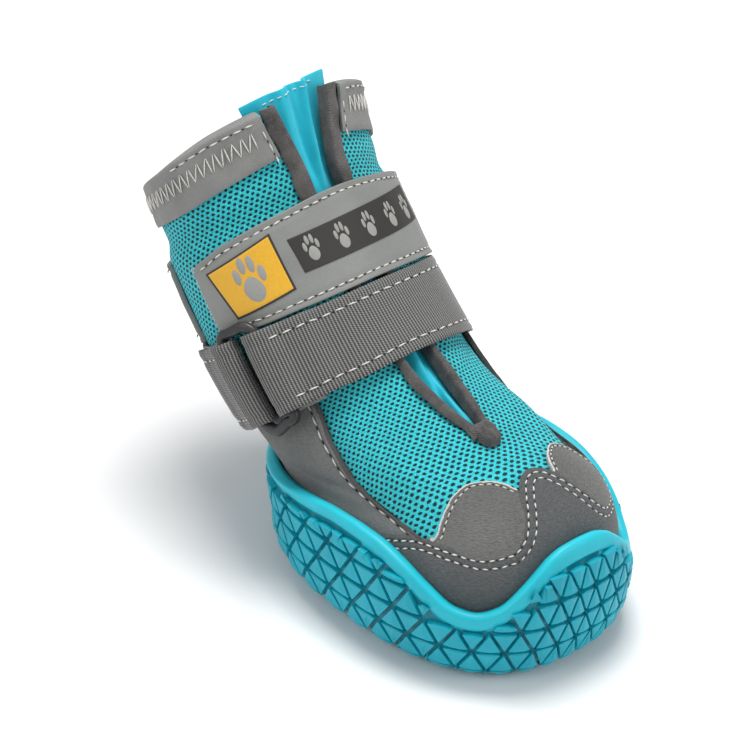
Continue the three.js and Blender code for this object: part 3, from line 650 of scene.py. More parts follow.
def flat_marks(tree):
    """Distances over the cloth in millimetres, round the shoe and up it."""
    where = tree.nodes.new("ShaderNodeTexCoord")
    parts = tree.nodes.new("ShaderNodeSeparateXYZ")
    tree.links.new(where.outputs["UV"], parts.inputs["Vector"])
    return parts.outputs["X"], parts.outputs["Y"]


def spread(tree, value, low, high, to_low=0.0, to_high=1.0):
    """Value eased from one range to another."""
    step = tree.nodes.new("ShaderNodeMapRange")
    step.interpolation_type = "SMOOTHSTEP"
    step.inputs["From Min"].default_value = low
    step.inputs["From Max"].default_value = high
    step.inputs["To Min"].default_value = to_low
    step.inputs["To Max"].default_value = to_high
    tree.links.new(value, step.inputs["Value"])
    return step.outputs["Result"]


def mix_tones(tree, share, first, second):
    blend = tree.nodes.new("ShaderNodeMix")
    blend.data_type = "RGBA"
    for place, tone in ((6, first), (7, second)):
        if isinstance(tone, tuple):
            blend.inputs[place].default_value = (*tone, 1)
        else:
            tree.links.new(tone, blend.inputs[place])
    tree.links.new(share, blend.inputs[0])
    return blend.outputs[2]


def hole_rows(tree, x, y, pitch_x, pitch_y, half_x, half_y):
    """Staggered rows of oval holes: 0 in the middle of a hole, growing outward."""
    found = []
    for shift in (0.0, 0.5):
        across = calc(tree, "FRACT", calc(tree, "MULTIPLY_ADD", x, 1 / pitch_x, shift))
        across = calc(tree, "MULTIPLY", calc(tree, "SUBTRACT", across, 0.5), pitch_x / half_x)
        across = calc(tree, "POWER", calc(tree, "ABSOLUTE", across), 2)
        up = calc(tree, "FRACT", calc(tree, "MULTIPLY_ADD", y, 1 / pitch_y, shift))
        up = calc(tree, "SUBTRACT", up, 0.5)
        up = calc(tree, "POWER", calc(tree, "ABSOLUTE", calc(tree, "MULTIPLY", up, pitch_y / half_y)), 2)
        found.append(calc(tree, "ADD", across, up))
    return calc(tree, "SQRT", calc(tree, "MINIMUM", found[0], found[1]))


air_mesh, tree, shader = bare_material("air_mesh")
x, y = flat_marks(tree)
sway = calc(tree, "MULTIPLY_ADD", noise(tree, 200, 2), 0.9, -0.45)
x = calc(tree, "ADD", x, sway)
y = calc(tree, "ADD", y, calc(tree, "MULTIPLY_ADD", noise(tree, 230, 2), 0.9, -0.45))
ring_field = hole_rows(tree, x, y, 1.62, 1.90, 0.48, 0.36)
knit = noise(tree, 3800, 3, 0.7)
solid = spread(tree, calc(tree, "ADD", ring_field, calc(tree, "MULTIPLY_ADD", knit, 0.5, -0.25)), 0.72, 1.12)
rib = calc(tree, "SINE", calc(tree, "MULTIPLY", calc(tree, "ADD", x, calc(tree, "MULTIPLY", y, 0.55)), 15.5))
thread_tone = ramp(tree, knit, [(0.30, (0.010, 0.330, 0.400)), (0.55, (0.024, 0.610, 0.685)),
                                (0.74, (0.200, 0.880, 0.910))])
worn = ramp(tree, noise(tree, 60, 4), [(0.3, (0.90, 0.90, 0.90)), (0.7, (1, 1, 1))])
shade = tree.nodes.new("ShaderNodeMix")
shade.data_type = "RGBA"
shade.blend_type = "MULTIPLY"
shade.inputs[0].default_value = 1
tree.links.new(thread_tone, shade.inputs[6])
tree.links.new(worn, shade.inputs[7])
# The near-black teal in the holes is painted shade inside them.
tone = mix_tones(tree, solid, (0.001, 0.026, 0.034), shade.outputs[2])
relief = calc(tree, "ADD", solid, calc(tree, "MULTIPLY", rib, 0.10))
relief = calc(tree, "ADD", relief, calc(tree, "MULTIPLY", knit, 0.35))
surface(tree, shader, tone, 0.78, bump(tree, relief, 0.85, 0.00045), specular=0.30, sheen=0.08)
shader.inputs["Sheen Roughness"].default_value = 0.5

lining, tree, shader = bare_material("dark_lining")
weave = noise(tree, 2200, 4, 0.7)
tone = ramp(tree, weave, [(0.3, (0.018, 0.020, 0.023)), (0.7, (0.055, 0.060, 0.066))])
surface(tree, shader, tone, 0.9, bump(tree, weave, 0.6, 0.0003))
mesh_sock.data.materials.append(air_mesh)
mesh_sock.data.materials.append(lining)
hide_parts("upper")
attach(mesh_sock, "root")

# Insole. A flat soft board covered in dark cloth, cut to the inside of the foot and laid loose in it.
insole_steps = 64
insole_shares = np.array([0.0, 0.55, 0.95, 1.0, 1.0, 0.95, 0.0])
insole_levels = np.array([5.35, 5.35, 5.35, 5.75, 6.9, 7.25, 7.25])


def insole_points(a, b):
    u = 2 * a - 1
    rim = lay(u, np.full(a.shape, float(up_at_height(np.array([0.0]), ledge_level)[0])), -upper_wall - 0.6)
    k = np.rint(b * (len(insole_shares) - 1)).astype(int)
    points = rim * insole_shares[k][:, None]
    points[:, 2] = insole_levels[k]
    return points


insole = grid_piece("insole_board", insole_steps, len(insole_shares) - 1, insole_points, closed=True)
insole.data.materials.append(lining)
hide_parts("insole")
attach(insole, "root")

# Gusset. A folded tongue of smooth teal satin sewn behind the throat slit; it stands a little above the
# collar in pleats, and bulges through the slit below the straps.
gusset_foot = slit_tip - 0.05


def gusset_off(s, v):
    """Depth of the satin below the face, s millimetres across the throat."""
    deep = -upper_wall - 0.5 - 1.3 * along([0.80, 0.88], [0, 1], v)
    top = along([0.78, 0.90], [0, 1], v)
    pleats = 2.5 * np.exp(-((s - 2.4 - 1.2 * (v - 0.9) * 8) / 1.25) ** 2)
    pleats = pleats + 1.5 * np.exp(-((s + 2.6) / 2.1) ** 2) - 0.8 * np.exp(-((s + 0.1) / 0.8) ** 2)
    low = along([0.46, 0.50, 0.62, 0.70], [0, 1, 1, 0.3], v)
    twist = 3.0 * (v - 0.56) * 12
    bulge = 2.7 * np.exp(-((s - 0.2) / 1.8) ** 2) - 1.5 * np.exp(-((s - 0.5 - twist) / 0.55) ** 2)
    return deep + top * pleats + low * bulge * 0.9


def gusset_spot(a, b):
    v = gusset_foot + (1.036 + 0.008 * (2 * a - 1) - gusset_foot) * b
    half = flap_edge(v) + 5.2
    return (2 * a - 1) * half, v


def gusset_points(a, b):
    s, v = gusset_spot(a, b)
    return lay(s / girth_at(v), v, gusset_off(s, v))


def gusset_marks(a, b, middle):
    s, v = gusset_spot(a, b)
    return np.stack([s, sample(climbed, 0 * v, v)], axis=1)


gusset_cloth = grid_piece("gusset_cloth", 64, 90, gusset_points, marks=gusset_marks)
thicken(gusset_cloth, 0.6, 0.18)
satin, tree, shader = bare_material("teal_satin")
x, y = flat_marks(tree)
thread = calc(tree, "SINE", calc(tree, "MULTIPLY", x, 26))
drape = noise(tree, 140, 3)
tone = ramp(tree, drape, [(0.3, (0.010, 0.420, 0.560)), (0.7, (0.016, 0.520, 0.660))])
nap = calc(tree, "MULTIPLY_ADD", noise(tree, 1500, 3), 1.5, thread)
surface(tree, shader, tone, 0.52, bump(tree, nap, 0.18, 0.00006), specular=0.28, sheen=0.15)
gusset_cloth.data.materials.append(satin)
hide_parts("gusset")
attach(gusset_cloth, "root")

# Toe cap. Grey synthetic leather, cut with a waved hem, wrapped round the toe and held by two rows of
# pale thread along the hem; its foot goes down inside the rubber rim.
cap_around = [0, 0.030, 0.055, 0.078, 0.105, 0.135, 0.185, 0.245, 0.315, 0.380, 0.440]
cap_up = [0.382, 0.374, 0.352, 0.318, 0.278, 0.257, 0.252, 0.268, 0.286, 0.272, 0.250]
cap_reach = 0.440
# Scale of the leather's flat marks.
cover_scale = 95.0


def cap_at(u):
    return along(cap_around, cap_up, np.abs(u))


def cover_foot(u):
    return np.maximum(rim_at(u) - 0.045, up_at_height(u, ledge_level + 0.3))


def shift_path(u, v, by):
    """A path moved sideways over the face by some millimetres, to its left."""
    girth = girth_at(v)
    climb = climb_at(u, v)
    run_x = np.gradient(u) * girth
    run_y = np.gradient(v) * climb
    size = np.sqrt(run_x ** 2 + run_y ** 2) + 1e-9
    return u - run_y / size * by / girth, v + run_x / size * by / climb


def stitch_row(shape, u, v, off, length, gap, radius, sink=0.35, phase=0.5):
    """Threads of one sewn row along a path on the face: small rounded stitches pulled in at their ends."""
    spots = lay(u, v, off)
    walked = walked_along(spots)
    count = max(int(walked[-1] / (length + gap)), 1)
    pitch = walked[-1] / count
    centres = (np.arange(count) + phase) * pitch
    centres = centres[(centres > length / 2) & (centres < walked[-1] - length / 2)]
    for centre in centres:
        ends = [np.array([np.interp(place, walked, spots[:, k]) for k in range(3)])
                for place in (centre - length / 2, centre, centre + length / 2)]
        mid_u = np.interp(centre, walked, u)
        mid_v = np.interp(centre, walked, v)
        up = Vector(sample(face_normals, mid_u, mid_v))
        ahead = Vector(ends[2] - ends[0]).normalized()
        side = up.cross(ahead).normalized()
        up = ahead.cross(side)
        middle = Vector(ends[1]) + up * radius * (1 - 2 * sink)
        tilt = random.uniform(-0.12, 0.12)
        ahead = (ahead + side * tilt).normalized()
        side = up.cross(ahead)
        frame_axes = Matrix((ahead * length / 2, side * radius, up * radius)).transposed().to_4x4()
        frame_axes.translation = middle
        made = bmesh.ops.create_icosphere(shape, subdivisions=2, radius=1)
        for corner in made["verts"]:
            x = corner.co.x
            corner.co.z = corner.co.z - 0.9 * x ** 4
            corner.co.y *= 1 - 0.15 * abs(x)
            corner.co = frame_axes @ corner.co


random.seed(5)
cap_stitches = []
cap_u = np.linspace(-cap_reach, cap_reach, 2001)
hem_walked = walked_along(lay(cap_u, cap_at(cap_u), 0))
cap_u = np.interp(np.linspace(0, hem_walked[-1], 500), hem_walked, cap_u)
cap_walked = np.linspace(0, 1, 500)
for inset in (1.35, 2.95):
    cap_stitches.append(shift_path(cap_u, cap_at(cap_u), -inset))


def near_path(u, v, path_u, path_v):
    """Millimetres from each place to a path on the face."""
    girth = girth_at(v)
    climb = climb_at(u, v)
    across = (u[:, None] - path_u[None, ::4]) * girth[:, None]
    up = (v[:, None] - path_v[None, ::4]) * climb[:, None]
    return np.sqrt((across ** 2 + up ** 2).min(axis=1))


def cap_spot(a, b):
    u = np.interp(a, cap_walked, cap_u)
    top = cap_at(u)
    low = np.minimum(cover_foot(u), top - 0.012)
    return u, low + (top - low) * (1 - (1 - b) ** 1.25)


def cap_points(a, b):
    u, v = cap_spot(a, b)
    off = 1.42 + 0 * u
    for row in cap_stitches:
        off = off - 0.28 * np.exp(-(near_path(u, v, *row) / 0.42) ** 2)
    gap = near_path(u, v, cap_u, cap_at(cap_u))
    off = off - 0.25 * np.exp(-(gap / 0.45) ** 2) + 0.30 * np.exp(-((gap - 9) / 5) ** 2)
    return lay(u, v, off)


def cover_marks(spot):
    def marks(a, b, middle):
        u, v = spot(a, b)
        return np.stack([u * cover_scale, sample(climbed, u, v)], axis=1)
    return marks


def paint_near(piece, path, reach):
    """Gives its second material to the faces that lie within reach of a path."""
    middles = np.array([patch.center[:] for patch in piece.data.polygons]) * 1000
    nearest = np.sqrt(((middles[:, None, :] - path[None, :, :]) ** 2).sum(axis=2)).min(axis=1)
    for patch, distance in zip(piece.data.polygons, nearest):
        patch.material_index = 1 if distance < reach else 0


toe_cap = grid_piece("toe_cap_leather", 300, 30, cap_points, marks=cover_marks(cap_spot))
thicken(toe_cap, 1.1, 0.22)


def leather(name, dark, light, sheen_spots=0.46):
    """Synthetic leather: fine grain drawn out along the length, faint creases, and a satin surface."""
    paint, tree, shader = bare_material(name)
    x, y = flat_marks(tree)
    where = tree.nodes.new("ShaderNodeCombineXYZ")
    tree.links.new(calc(tree, "MULTIPLY", x, 0.55), where.inputs["X"])
    tree.links.new(calc(tree, "MULTIPLY", y, 1.5), where.inputs["Y"])
    grain = tree.nodes.new("ShaderNodeTexNoise")
    grain.inputs["Scale"].default_value = 2.1
    grain.inputs["Detail"].default_value = 5
    grain.inputs["Roughness"].default_value = 0.68
    tree.links.new(where.outputs["Vector"], grain.inputs["Vector"])
    pores = tree.nodes.new("ShaderNodeTexVoronoi")
    pores.feature = "DISTANCE_TO_EDGE"
    pores.inputs["Scale"].default_value = 1.9
    tree.links.new(where.outputs["Vector"], pores.inputs["Vector"])
    creases = spread(tree, pores.outputs["Distance"], 0.0, 0.10)
    tone = ramp(tree, noise(tree, 75, 5), [(0.3, dark), (0.7, light)])
    pits = tuple(part * 0.66 for part in dark)
    tone = mix_tones(tree, spread(tree, grain.outputs["Fac"], 0.32, 0.66), pits, tone)
    height = calc(tree, "MULTIPLY_ADD", grain.outputs["Fac"], 1.4, calc(tree, "MULTIPLY", creases, 0.35))
    gloss = spread(tree, grain.outputs["Fac"], 0.3, 0.7, sheen_spots + 0.10, sheen_spots)
    surface(tree, shader, tone, gloss, bump(tree, height, 0.75, 0.00034), specular=0.45)
    return paint


cap_leather = leather("cap_leather", (0.094, 0.101, 0.104), (0.128, 0.134, 0.136))
toe_cap.data.materials.append(cap_leather)
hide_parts("toe_cap")
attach(toe_cap, "root")

pale_thread, tree, shader = bare_material("pale_thread")
twist = noise(tree, 5200, 3, 0.6)
tone = ramp(tree, twist, [(0.3, (0.44, 0.42, 0.38)), (0.6, (0.74, 0.72, 0.68))])
surface(tree, shader, tone, 0.6, bump(tree, twist, 0.6, 0.0001))

# Near-black for small specks sunk between the stitches: painted shade of the needle holes.
needle_hole_shade, tree, shader = bare_material("needle_hole_shade")
tone = ramp(tree, noise(tree, 900, 3), [(0.3, (0.008, 0.008, 0.008)), (0.7, (0.022, 0.021, 0.020))])
surface(tree, shader, tone, 0.9)


def sew(name, rows, holes=True):
    """Rows of stitches made into one piece, with dark sunk specks between them as another, painted shade of
    the needle holes;
    each row is (u, v, off, length, gap, radius)."""
    for suffix, paint in (("", pale_thread), ("_hole_shade", needle_hole_shade)):
        shape = bmesh.new()
        for u, v, off, length, gap, radius in rows:
            if suffix:
                stitch_row(shape, u, v, off, gap * 0.95, length + gap - gap * 0.95, radius * 0.9, 0.42, 0.0)
            else:
                stitch_row(shape, u, v, off, length, gap, radius)
        for corner in shape.verts:
            corner.co = corner.co * 0.001
        threads = finish_piece(name + suffix, shape)
        threads.data.materials.append(paint)
        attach(threads, "root")
        if not holes:
            break


sew("toe_cap_stitches", [(*row, 1.26, 1.45, 0.62, 0.20) for row in cap_stitches])

# Petals. One rounded tab of paler leather stands in each dip of the toe cap's hem, sewn along its arch
# with a fine pale row; the cut edge shows lighter than its face.
petal_around = [0.052, 0.065, 0.090, 0.125, 0.165, 0.205, 0.240, 0.262, 0.282]
petal_up = [0.362, 0.378, 0.393, 0.399, 0.388, 0.363, 0.328, 0.298, 0.281]
petal_leather = leather("petal_leather", (0.140, 0.143, 0.134), (0.182, 0.184, 0.173), 0.42)
petal_edge, tree, shader = bare_material("cut_edge")
fray = noise(tree, 2600, 3)
tone = ramp(tree, fray, [(0.3, (0.42, 0.40, 0.37)), (0.7, (0.62, 0.60, 0.56))])
surface(tree, shader, tone, 0.8, bump(tree, fray, 0.5, 0.0001))
for name, side in (("petal_left", -1), ("petal_right", 1)):
    arch_u = np.linspace(petal_around[0], petal_around[-1], 160)
    arch_v = along(petal_around, petal_up, arch_u)
    row_u, row_v = shift_path(arch_u, arch_v, -1.05)
    keep = row_v > cap_at(row_u) + 0.006
    row_u = row_u[keep]
    row_v = row_v[keep]

    def petal_spot(a, b):
        w = petal_around[0] + (petal_around[-1] - petal_around[0]) * a
        low = cap_at(w) - 1.2 / climb_at(w, cap_at(w))
        high = np.maximum(along(petal_around, petal_up, w), low + 2.0 / climb_at(w, low))
        return side * w, low + (high - low) * b

    def petal_points(a, b):
        u, v = petal_spot(a, b)
        edge = near_path(np.abs(u), v, arch_u, arch_v)
        thread = near_path(np.abs(u), v, row_u, row_v)
        swell = 0.30 * np.clip(1 - np.exp(-((edge - 1.2) / 3.0) ** 2), 0, 1)
        off = 1.12 + swell - 0.22 * np.exp(-(edge / 0.35) ** 2)
        return lay(u, v, off - 0.22 * np.exp(-(thread / 0.35) ** 2))

    petal = grid_piece(name + "_leather", 90, 60, petal_points, flip=side < 0, marks=cover_marks(petal_spot))
    thicken(petal, 0.8, 0.15)
    petal.modifiers["thickness"].material_offset_rim = 1
    petal.data.materials.append(petal_leather)
    petal.data.materials.append(petal_edge)
    paint_near(petal, lay(side * arch_u, arch_v, 1.0), 0.42)
    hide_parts(name)
    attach(petal, "root")
    sew(name + "_stitches", [(side * row_u, row_v, 0.98, 1.15, 0.48, 0.17)])

# Side panels. Grey synthetic leather from the rubber rim up under the straps; the front edge is folded into
# a raised, darker hem with one row of long pale stitches beside it.
front_up = [0, 0.275, 0.321, 0.417, 0.504, 0.567, 0.640]
front_around = [0.300, 0.300, 0.325, 0.350, 0.333, 0.308, 0.300]
panel_leather = leather("panel_leather", (0.165, 0.168, 0.166), (0.213, 0.216, 0.212))
hem_leather = leather("hem_leather", (0.060, 0.056, 0.054), (0.090, 0.085, 0.081))


def panel_foot(w):
    behind = along([cap_reach, 1], [0.248, 0.232], w)
    return np.where(w < cap_reach, cap_at(w) - 1.0 / climb_at(w, cap_at(w)), behind)


front_v = np.linspace(0.262, 0.640, 240)
front_u = along(front_up, front_around, front_v)
for name, side in (("side_panel_left", -1), ("side_panel_right", 1)):
    row_u, row_v = shift_path(front_u, front_v, -2.35)

    def panel_spot(a, b):
        start = panel_foot(np.full(a.shape, 0.31))
        front = along(front_up, front_around, start + (0.640 - start) * b)
        w = front + (1.0 - front) * (0.3 * a + 0.7 * a ** 2)
        low = panel_foot(w)
        return side * w, low + (along(panel_top_around, panel_top_up, w) - low) * b

    def panel_points(a, b):
        u, v = panel_spot(a, b)
        edge = near_path(np.abs(u), v, front_u, front_v)
        hem = 0.34 * np.clip(1 - ((edge - 0.95) / 1.05) ** 2, 0, 1) ** 0.5
        off = 1.18 + hem - 0.30 * np.exp(-((edge - 2.35) / 0.42) ** 2)
        fold_line = np.exp(-((v - 0.37 - 0.10 * np.abs(u)) / 0.018) ** 2)
        sag_fold = 0.35 * fold_line * np.exp(-((np.abs(u) - 0.52) / 0.14) ** 2)
        return lay(u, v, off - sag_fold)

    panel = grid_piece(name + "_leather", 150, 70, panel_points, flip=side < 0,
                       marks=cover_marks(panel_spot))
    thicken(panel, 1.0, 0.2)
    panel.data.materials.append(panel_leather)
    panel.data.materials.append(hem_leather)
    paint_near(panel, lay(side * front_u, front_v, 1.4)[::3], 0.85)
    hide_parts(name)
    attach(panel, "root")
    sew(name + "_stitches", [(side * row_u, row_v, 1.02, 2.35, 0.85, 0.21)])

# Slit piping. A strip of brown-grey cloth tape folded over each raw edge of the throat slit, from the collar
# down to the tip, where a crumpled tab of the same tape closes it.
piping_width = 2.6
tape_cloth, tree, shader = bare_material("piping_cloth")
x, y = flat_marks(tree)
weave = calc(tree, "MULTIPLY", calc(tree, "SINE", calc(tree, "MULTIPLY", x, 14.0)),
             calc(tree, "SINE", calc(tree, "MULTIPLY", y, 14.0)))
fuzz = noise(tree, 2600, 5, 0.8)
wear = calc(tree, "MULTIPLY_ADD", noise(tree, 220, 4), 0.5, calc(tree, "MULTIPLY", fuzz, 0.5))
tone = ramp(tree, wear, [(0.38, (0.060, 0.057, 0.055)), (0.62, (0.165, 0.157, 0.151))])
nap = calc(tree, "ADD", calc(tree, "MULTIPLY", weave, 0.5), fuzz)
surface(tree, shader, tone, 0.88, bump(tree, nap, 0.8, 0.0003), specular=0.25, sheen=0.08)
piping_low = slit_tip - 0.010


def piping_spot(a, b):
    """a runs across the strip from its outer hem, over the fold and down into the slit."""
    top = 1 + 1.3 / climb_at(0.05 + 0 * a, 0.98 + 0 * a)
    v = piping_low + (top - piping_low) * b
    inner = along(slit_up, slit_half, v)
    outer = inner + 2.5 + (piping_width - 1.2) * along([0.60, 0.80], [0, 1], v)
    wander = 0.22 * np.sin(v * 61) + 0.15 * np.sin(v * 113 + 1)
    round_in = np.clip((a - 0.5) / 0.2, 0, 1) * math.pi / 2
    across = np.where(a < 0.5, outer + (inner + 0.9 - outer) * a / 0.5, inner + 0.9 * (1 - np.sin(round_in)))
    crown = 0.65 + 1.15 * np.sin(math.pi / 2 * np.clip(a / 0.5, 0, 1)) ** 0.8
    deep = np.clip((a - 0.7) / 0.3, 0, 1) * 2.6
    off = np.where(a < 0.5, crown, 1.35 + 0.45 - 0.9 * (1 - np.cos(round_in)) - deep)
    off = np.where(a < 0.5, off, np.minimum(off, crown + 1))
    stand = 0.35 * np.exp(-((v - 0.53) / 0.035) ** 2)
    return across + wander * np.clip(1 - a * 1.4, 0, 1), v, off + stand


for name, side in (("slit_piping_left", -1), ("slit_piping_right", 1)):
    def piping_points(a, b):
        s, v, off = piping_spot(a, b)
        return lay(side * s / girth_at(v), v, off)

    def piping_marks(a, b, middle):
        s, v, off = piping_spot(a, b)
        return np.stack([s - off, sample(climbed, 0 * v, v)], axis=1)

    piping = grid_piece(name + "_tape", 20, 150, piping_points, flip=side > 0, marks=piping_marks)
    thicken(piping, 0.6, 0.15)
    piping.data.materials.append(tape_cloth)
    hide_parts(name)
    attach(piping, "root")


def tab_points(a, b):
    """The crumpled end of the tape: a round-cornered tab with its ends tucked down."""
    round_end = np.sqrt(np.clip(1 - (1 - np.clip(b / 0.62, 0, 1)) ** 2, 0, 1))
    half = 0.7 + 2.1 * round_end
    v = slit_tip - 0.030 + 0.038 * b
    s = (2 * a - 1) * half
    rim_gap = np.minimum(1 - np.abs(2 * a - 1), np.minimum(b * 1.6, (1 - b) * 2.2))
    dome = 1.0 - np.exp(-(rim_gap / 0.20) ** 2)
    wrinkle = 0.26 * np.sin(s * 3.1 + v * 130) + 0.26 * np.sin(s * 1.7 - v * 330 + 0.8)
    foot = 0.55 + 0.95 * eased(b, 0.35, 0.65)
    return lay(s / girth_at(v), v, foot + (2.70 - foot) * dome + wrinkle * dome)


def tab_marks(a, b, middle):
    return np.stack([(2 * a - 1) * 4, b * 5], axis=1)


tip_tab = grid_piece("slit_tip_tape", 30, 30, tab_points, marks=tab_marks)
thicken(tip_tab, 0.7, 0.2)
tip_tab.data.materials.append(tape_cloth)
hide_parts("slit_tip_tab")
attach(tip_tab, "root")

# Collar binding. A band of matt grey cloth folded over the top edge of the sock, held by one zigzag of pale
# thread all the way round, and by straight rows along the slit and along the front of its top edge.
collar_band_around = [0, 0.250, 0.475, 0.700, 1]
collar_band_up = [0.905, 0.890, 0.868, 0.858, 0.855]
# Scale of the cloth's flat marks.
collar_scale = 62.0


def collar_low(u):
    return along(collar_band_around, collar_band_up, np.abs(turned(u)))


def binding_spot(a, b):
    """b climbs the outside, folds over the edge and goes down inside."""
    v = 0.93 + 0 * a
    for _ in range(3):
        start = (flap_edge(v) + piping_width + 0.3) / girth_at(v)
        u = start + (2 - 2 * start) * a
        edge = collar_at(u)
        low = collar_low(u)
        climb = climb_at(turned(u), edge)
        out = np.clip(b / 0.66, 0, 1)
        fold = np.clip((b - 0.66) / 0.16, 0, 1) * math.pi
        down = np.clip((b - 0.82) / 0.18, 0, 1)
        lift = (0.3 + 0.9 * np.sin(fold)) / climb
        outside = low + (edge - low) * out + 0.3 / climb * out
        v = np.where(b <= 0.66, outside, edge + lift - 3.3 * down / climb)
    half = (upper_wall + 1.3 + 1.3) / 2
    off = np.where(b <= 0.66, 1.3, 1.3 - half + half * np.cos(fold))
    return u, v, off


def binding_points(a, b):
    u, v, off = binding_spot(a, b)
    w = turned(u)
    ripple = 0.16 * np.sin(w * 37 + v * 9) * np.clip((v - collar_low(u)) / 0.05, 0, 1)
    ripple = ripple + 0.10 * np.sin(w * 83 + 2)
    hem = -0.25 * np.exp(-((v - collar_low(u)) * climb_at(w, v) / 0.6) ** 2)
    thread = -0.15 * np.exp(-(((v - zigzag_mid(u)) * climb_at(w, v)) / 2.2) ** 2)
    outside = np.clip((off - 0.2) / 1.0, 0, 1)
    return lay(w, v, off + (ripple + hem + thread) * outside)


def zigzag_mid(u):
    return collar_low(u) * 0.45 + collar_at(u) * 0.55


def binding_marks(a, b, middle):
    u, v, off = binding_spot(a, b)
    w = np.where(middle < 0.5, np.where(u > 1.5, u - 2, u), np.where(u < 0.5, u, u - 2))
    return np.stack([w * collar_scale, sample(climbed, turned(u), v) + (1.3 - off)], axis=1)


collar_binding = grid_piece("collar_binding_cloth", 220, 50, binding_points, marks=binding_marks)
thicken(collar_binding, 0.8, 0.2)


def matt_cloth(name, dark, light, thread_rate, roughness=0.75, relief=0.35):
    """Fine matt cloth: a plain weave under a thin coating, with soft patches of tone."""
    paint, tree, shader = bare_material(name)
    x, y = flat_marks(tree)
    weave = calc(tree, "MULTIPLY", calc(tree, "SINE", calc(tree, "MULTIPLY", x, thread_rate)),
                 calc(tree, "SINE", calc(tree, "MULTIPLY", y, thread_rate)))
    speck = noise(tree, 3000, 3, 0.65)
    patches = noise(tree, 90, 5)
    tone = ramp(tree, calc(tree, "MULTIPLY_ADD", speck, 0.45, calc(tree, "MULTIPLY", patches, 0.55)),
                [(0.35, dark), (0.65, light)])
    height = calc(tree, "ADD", calc(tree, "MULTIPLY", weave, 0.5), speck)
    dullness = spread(tree, patches, 0.35, 0.65, roughness - 0.06, roughness + 0.05)
    surface(tree, shader, tone, dullness, bump(tree, height, relief, 0.00012))
    return paint


binding_cloth = matt_cloth("binding_cloth", (0.178, 0.180, 0.174), (0.250, 0.252, 0.243), 17.0)
collar_binding.data.materials.append(binding_cloth)
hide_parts("collar_binding")
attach(collar_binding, "root")

zigzag_rows = []
zigzags = 60
zigzag_points = 14
zigzag_reach = 2.15
start = 0.172
for k in range(2 * zigzags):
    share = np.linspace(k, k + 1, zigzag_points) / (2 * zigzags)
    u = start + (2 - 2 * start) * share
    wave = np.linspace(-1, 1, zigzag_points) * (1 if k % 2 == 0 else -1)
    v = zigzag_mid(u) + wave * zigzag_reach / climb_at(turned(u), zigzag_mid(u))
    run = lay(turned(u), v, 1.3)
    zigzag_rows.append((turned(u), v, 1.38, float(np.linalg.norm(run[-1] - run[0])) * 0.93, 0.01, 0.17))
sew("collar_zigzag", zigzag_rows, holes=False)
edge_rows = []
for side in (-1, 1):
    u = side * np.linspace(0.165, 0.44, 60)
    edge_rows.append((u, collar_at(u) - 0.7 / climb_at(u, collar_at(u)), 1.46, 1.9, 0.7, 0.18))
    v = np.linspace(0.885, 0.975, 60)
    edge_rows.append((side * (flap_edge(v) + piping_width + 1.3) / girth_at(v), v, 1.34, 1.9, 0.7, 0.18))
sew("collar_edge_stitches", edge_rows)
hem_s = np.linspace(-8.4, 8.4, 120)
hem_v = 1.036 + 0.0009 * hem_s - 1.2 / 82
hem_off = gusset_off(hem_s, hem_v) + 0.08
sew("gusset_hem_stitches", [(hem_s / girth_at(hem_v), hem_v, hem_off, 1.3, 0.5, 0.13)],
    holes=False)

# Upper strap. A smooth grey band with a thin reflective film on its face, from its cut end on the ring side
# across the front and round the back, with a pale row of stitches along each edge.
band_around = [0, 0.200, 0.350, 0.470, 0.700, 1]
band_low = [0.698, 0.695, 0.687, 0.680, 0.638, 0.613]
band_high = [0.826, 0.818, 0.806, 0.788, 0.790, 0.800]
strap_in = 1.6
band_thickness = 1.4
band_end = -0.470
band_tail = 1.375
band_seam = 1.5
# Scales of the strap's flat marks and its prints.
strap_scale = 66.0
strap_scale_up = 96.0
band_face = strap_in + band_thickness


def band_spot(a, b):
    u = band_end + (band_tail - band_end) * a
    w = np.abs(turned(u))
    low = along(band_around, band_low, w)
    high = along(band_around, band_high, w)
    from_end = a * (band_tail - band_end) * strap_scale
    nick = 1 - 0.5 * np.exp(-(from_end / 0.9) ** 2) * (2 * b - 1) ** 6 * 0.25
    return u, (low + high) / 2 + (high - low) * (b - 0.5) * nick


def band_wave(u):
    """The slight waves of the strap's face, which its prints follow."""
    return 0.10 * np.sin(u * 19 + 0.4) + 0.07 * np.sin(u * 43 + 1.0)


def band_points(a, b):
    u, v = band_spot(a, b)
    w = np.abs(turned(u))
    climb = climb_at(turned(u), v)
    low = along(band_around, band_low, w)
    high = along(band_around, band_high, w)
    off = band_face + 0 * u
    for seam in (high - band_seam / climb, low + band_seam / climb):
        off = off - 0.26 * np.exp(-((v - seam) * climb / 0.5) ** 2)
    off = off + 0.14 * np.exp(-((v - (low + high) / 2) * climb / 3.2) ** 2)
    hug = 0.55 * np.clip((a - 0.88) / 0.10, 0, 1)
    return lay(turned(u), v, off + band_wave(u) - hug)


def band_marks(a, b, middle):
    u, v = band_spot(a, b)
    return np.stack([u * strap_scale, sample(climbed, turned(u), v)], axis=1)


strap_band = grid_piece("strap_band_cloth", 260, 30, band_points, marks=band_marks)
thicken(strap_band, 1.2, 0.28)
band_film = matt_cloth("band_film", (0.185, 0.190, 0.180), (0.235, 0.240, 0.228), 19.0, 0.52, 0.22)
strap_band.data.materials.append(band_film)
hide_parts("strap_band")
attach(strap_band, "root")
band_rows = []
u = np.linspace(band_end + 0.022, band_tail - 0.02, 500)
for edge, inset in ((band_high, -band_seam), (band_low, band_seam)):
    v = along(band_around, edge, np.abs(turned(u)))
    v = v + inset / climb_at(turned(u), v)
    band_rows.append((turned(u), v, band_face - 0.14, 1.75, 0.75, 0.19))
sew("strap_band_stitches", band_rows)

# Prints on the upper strap. A yellow square with a plain paw and a dark label with a row of small paws:
# generic marks where the photographed shoe carries its maker's.


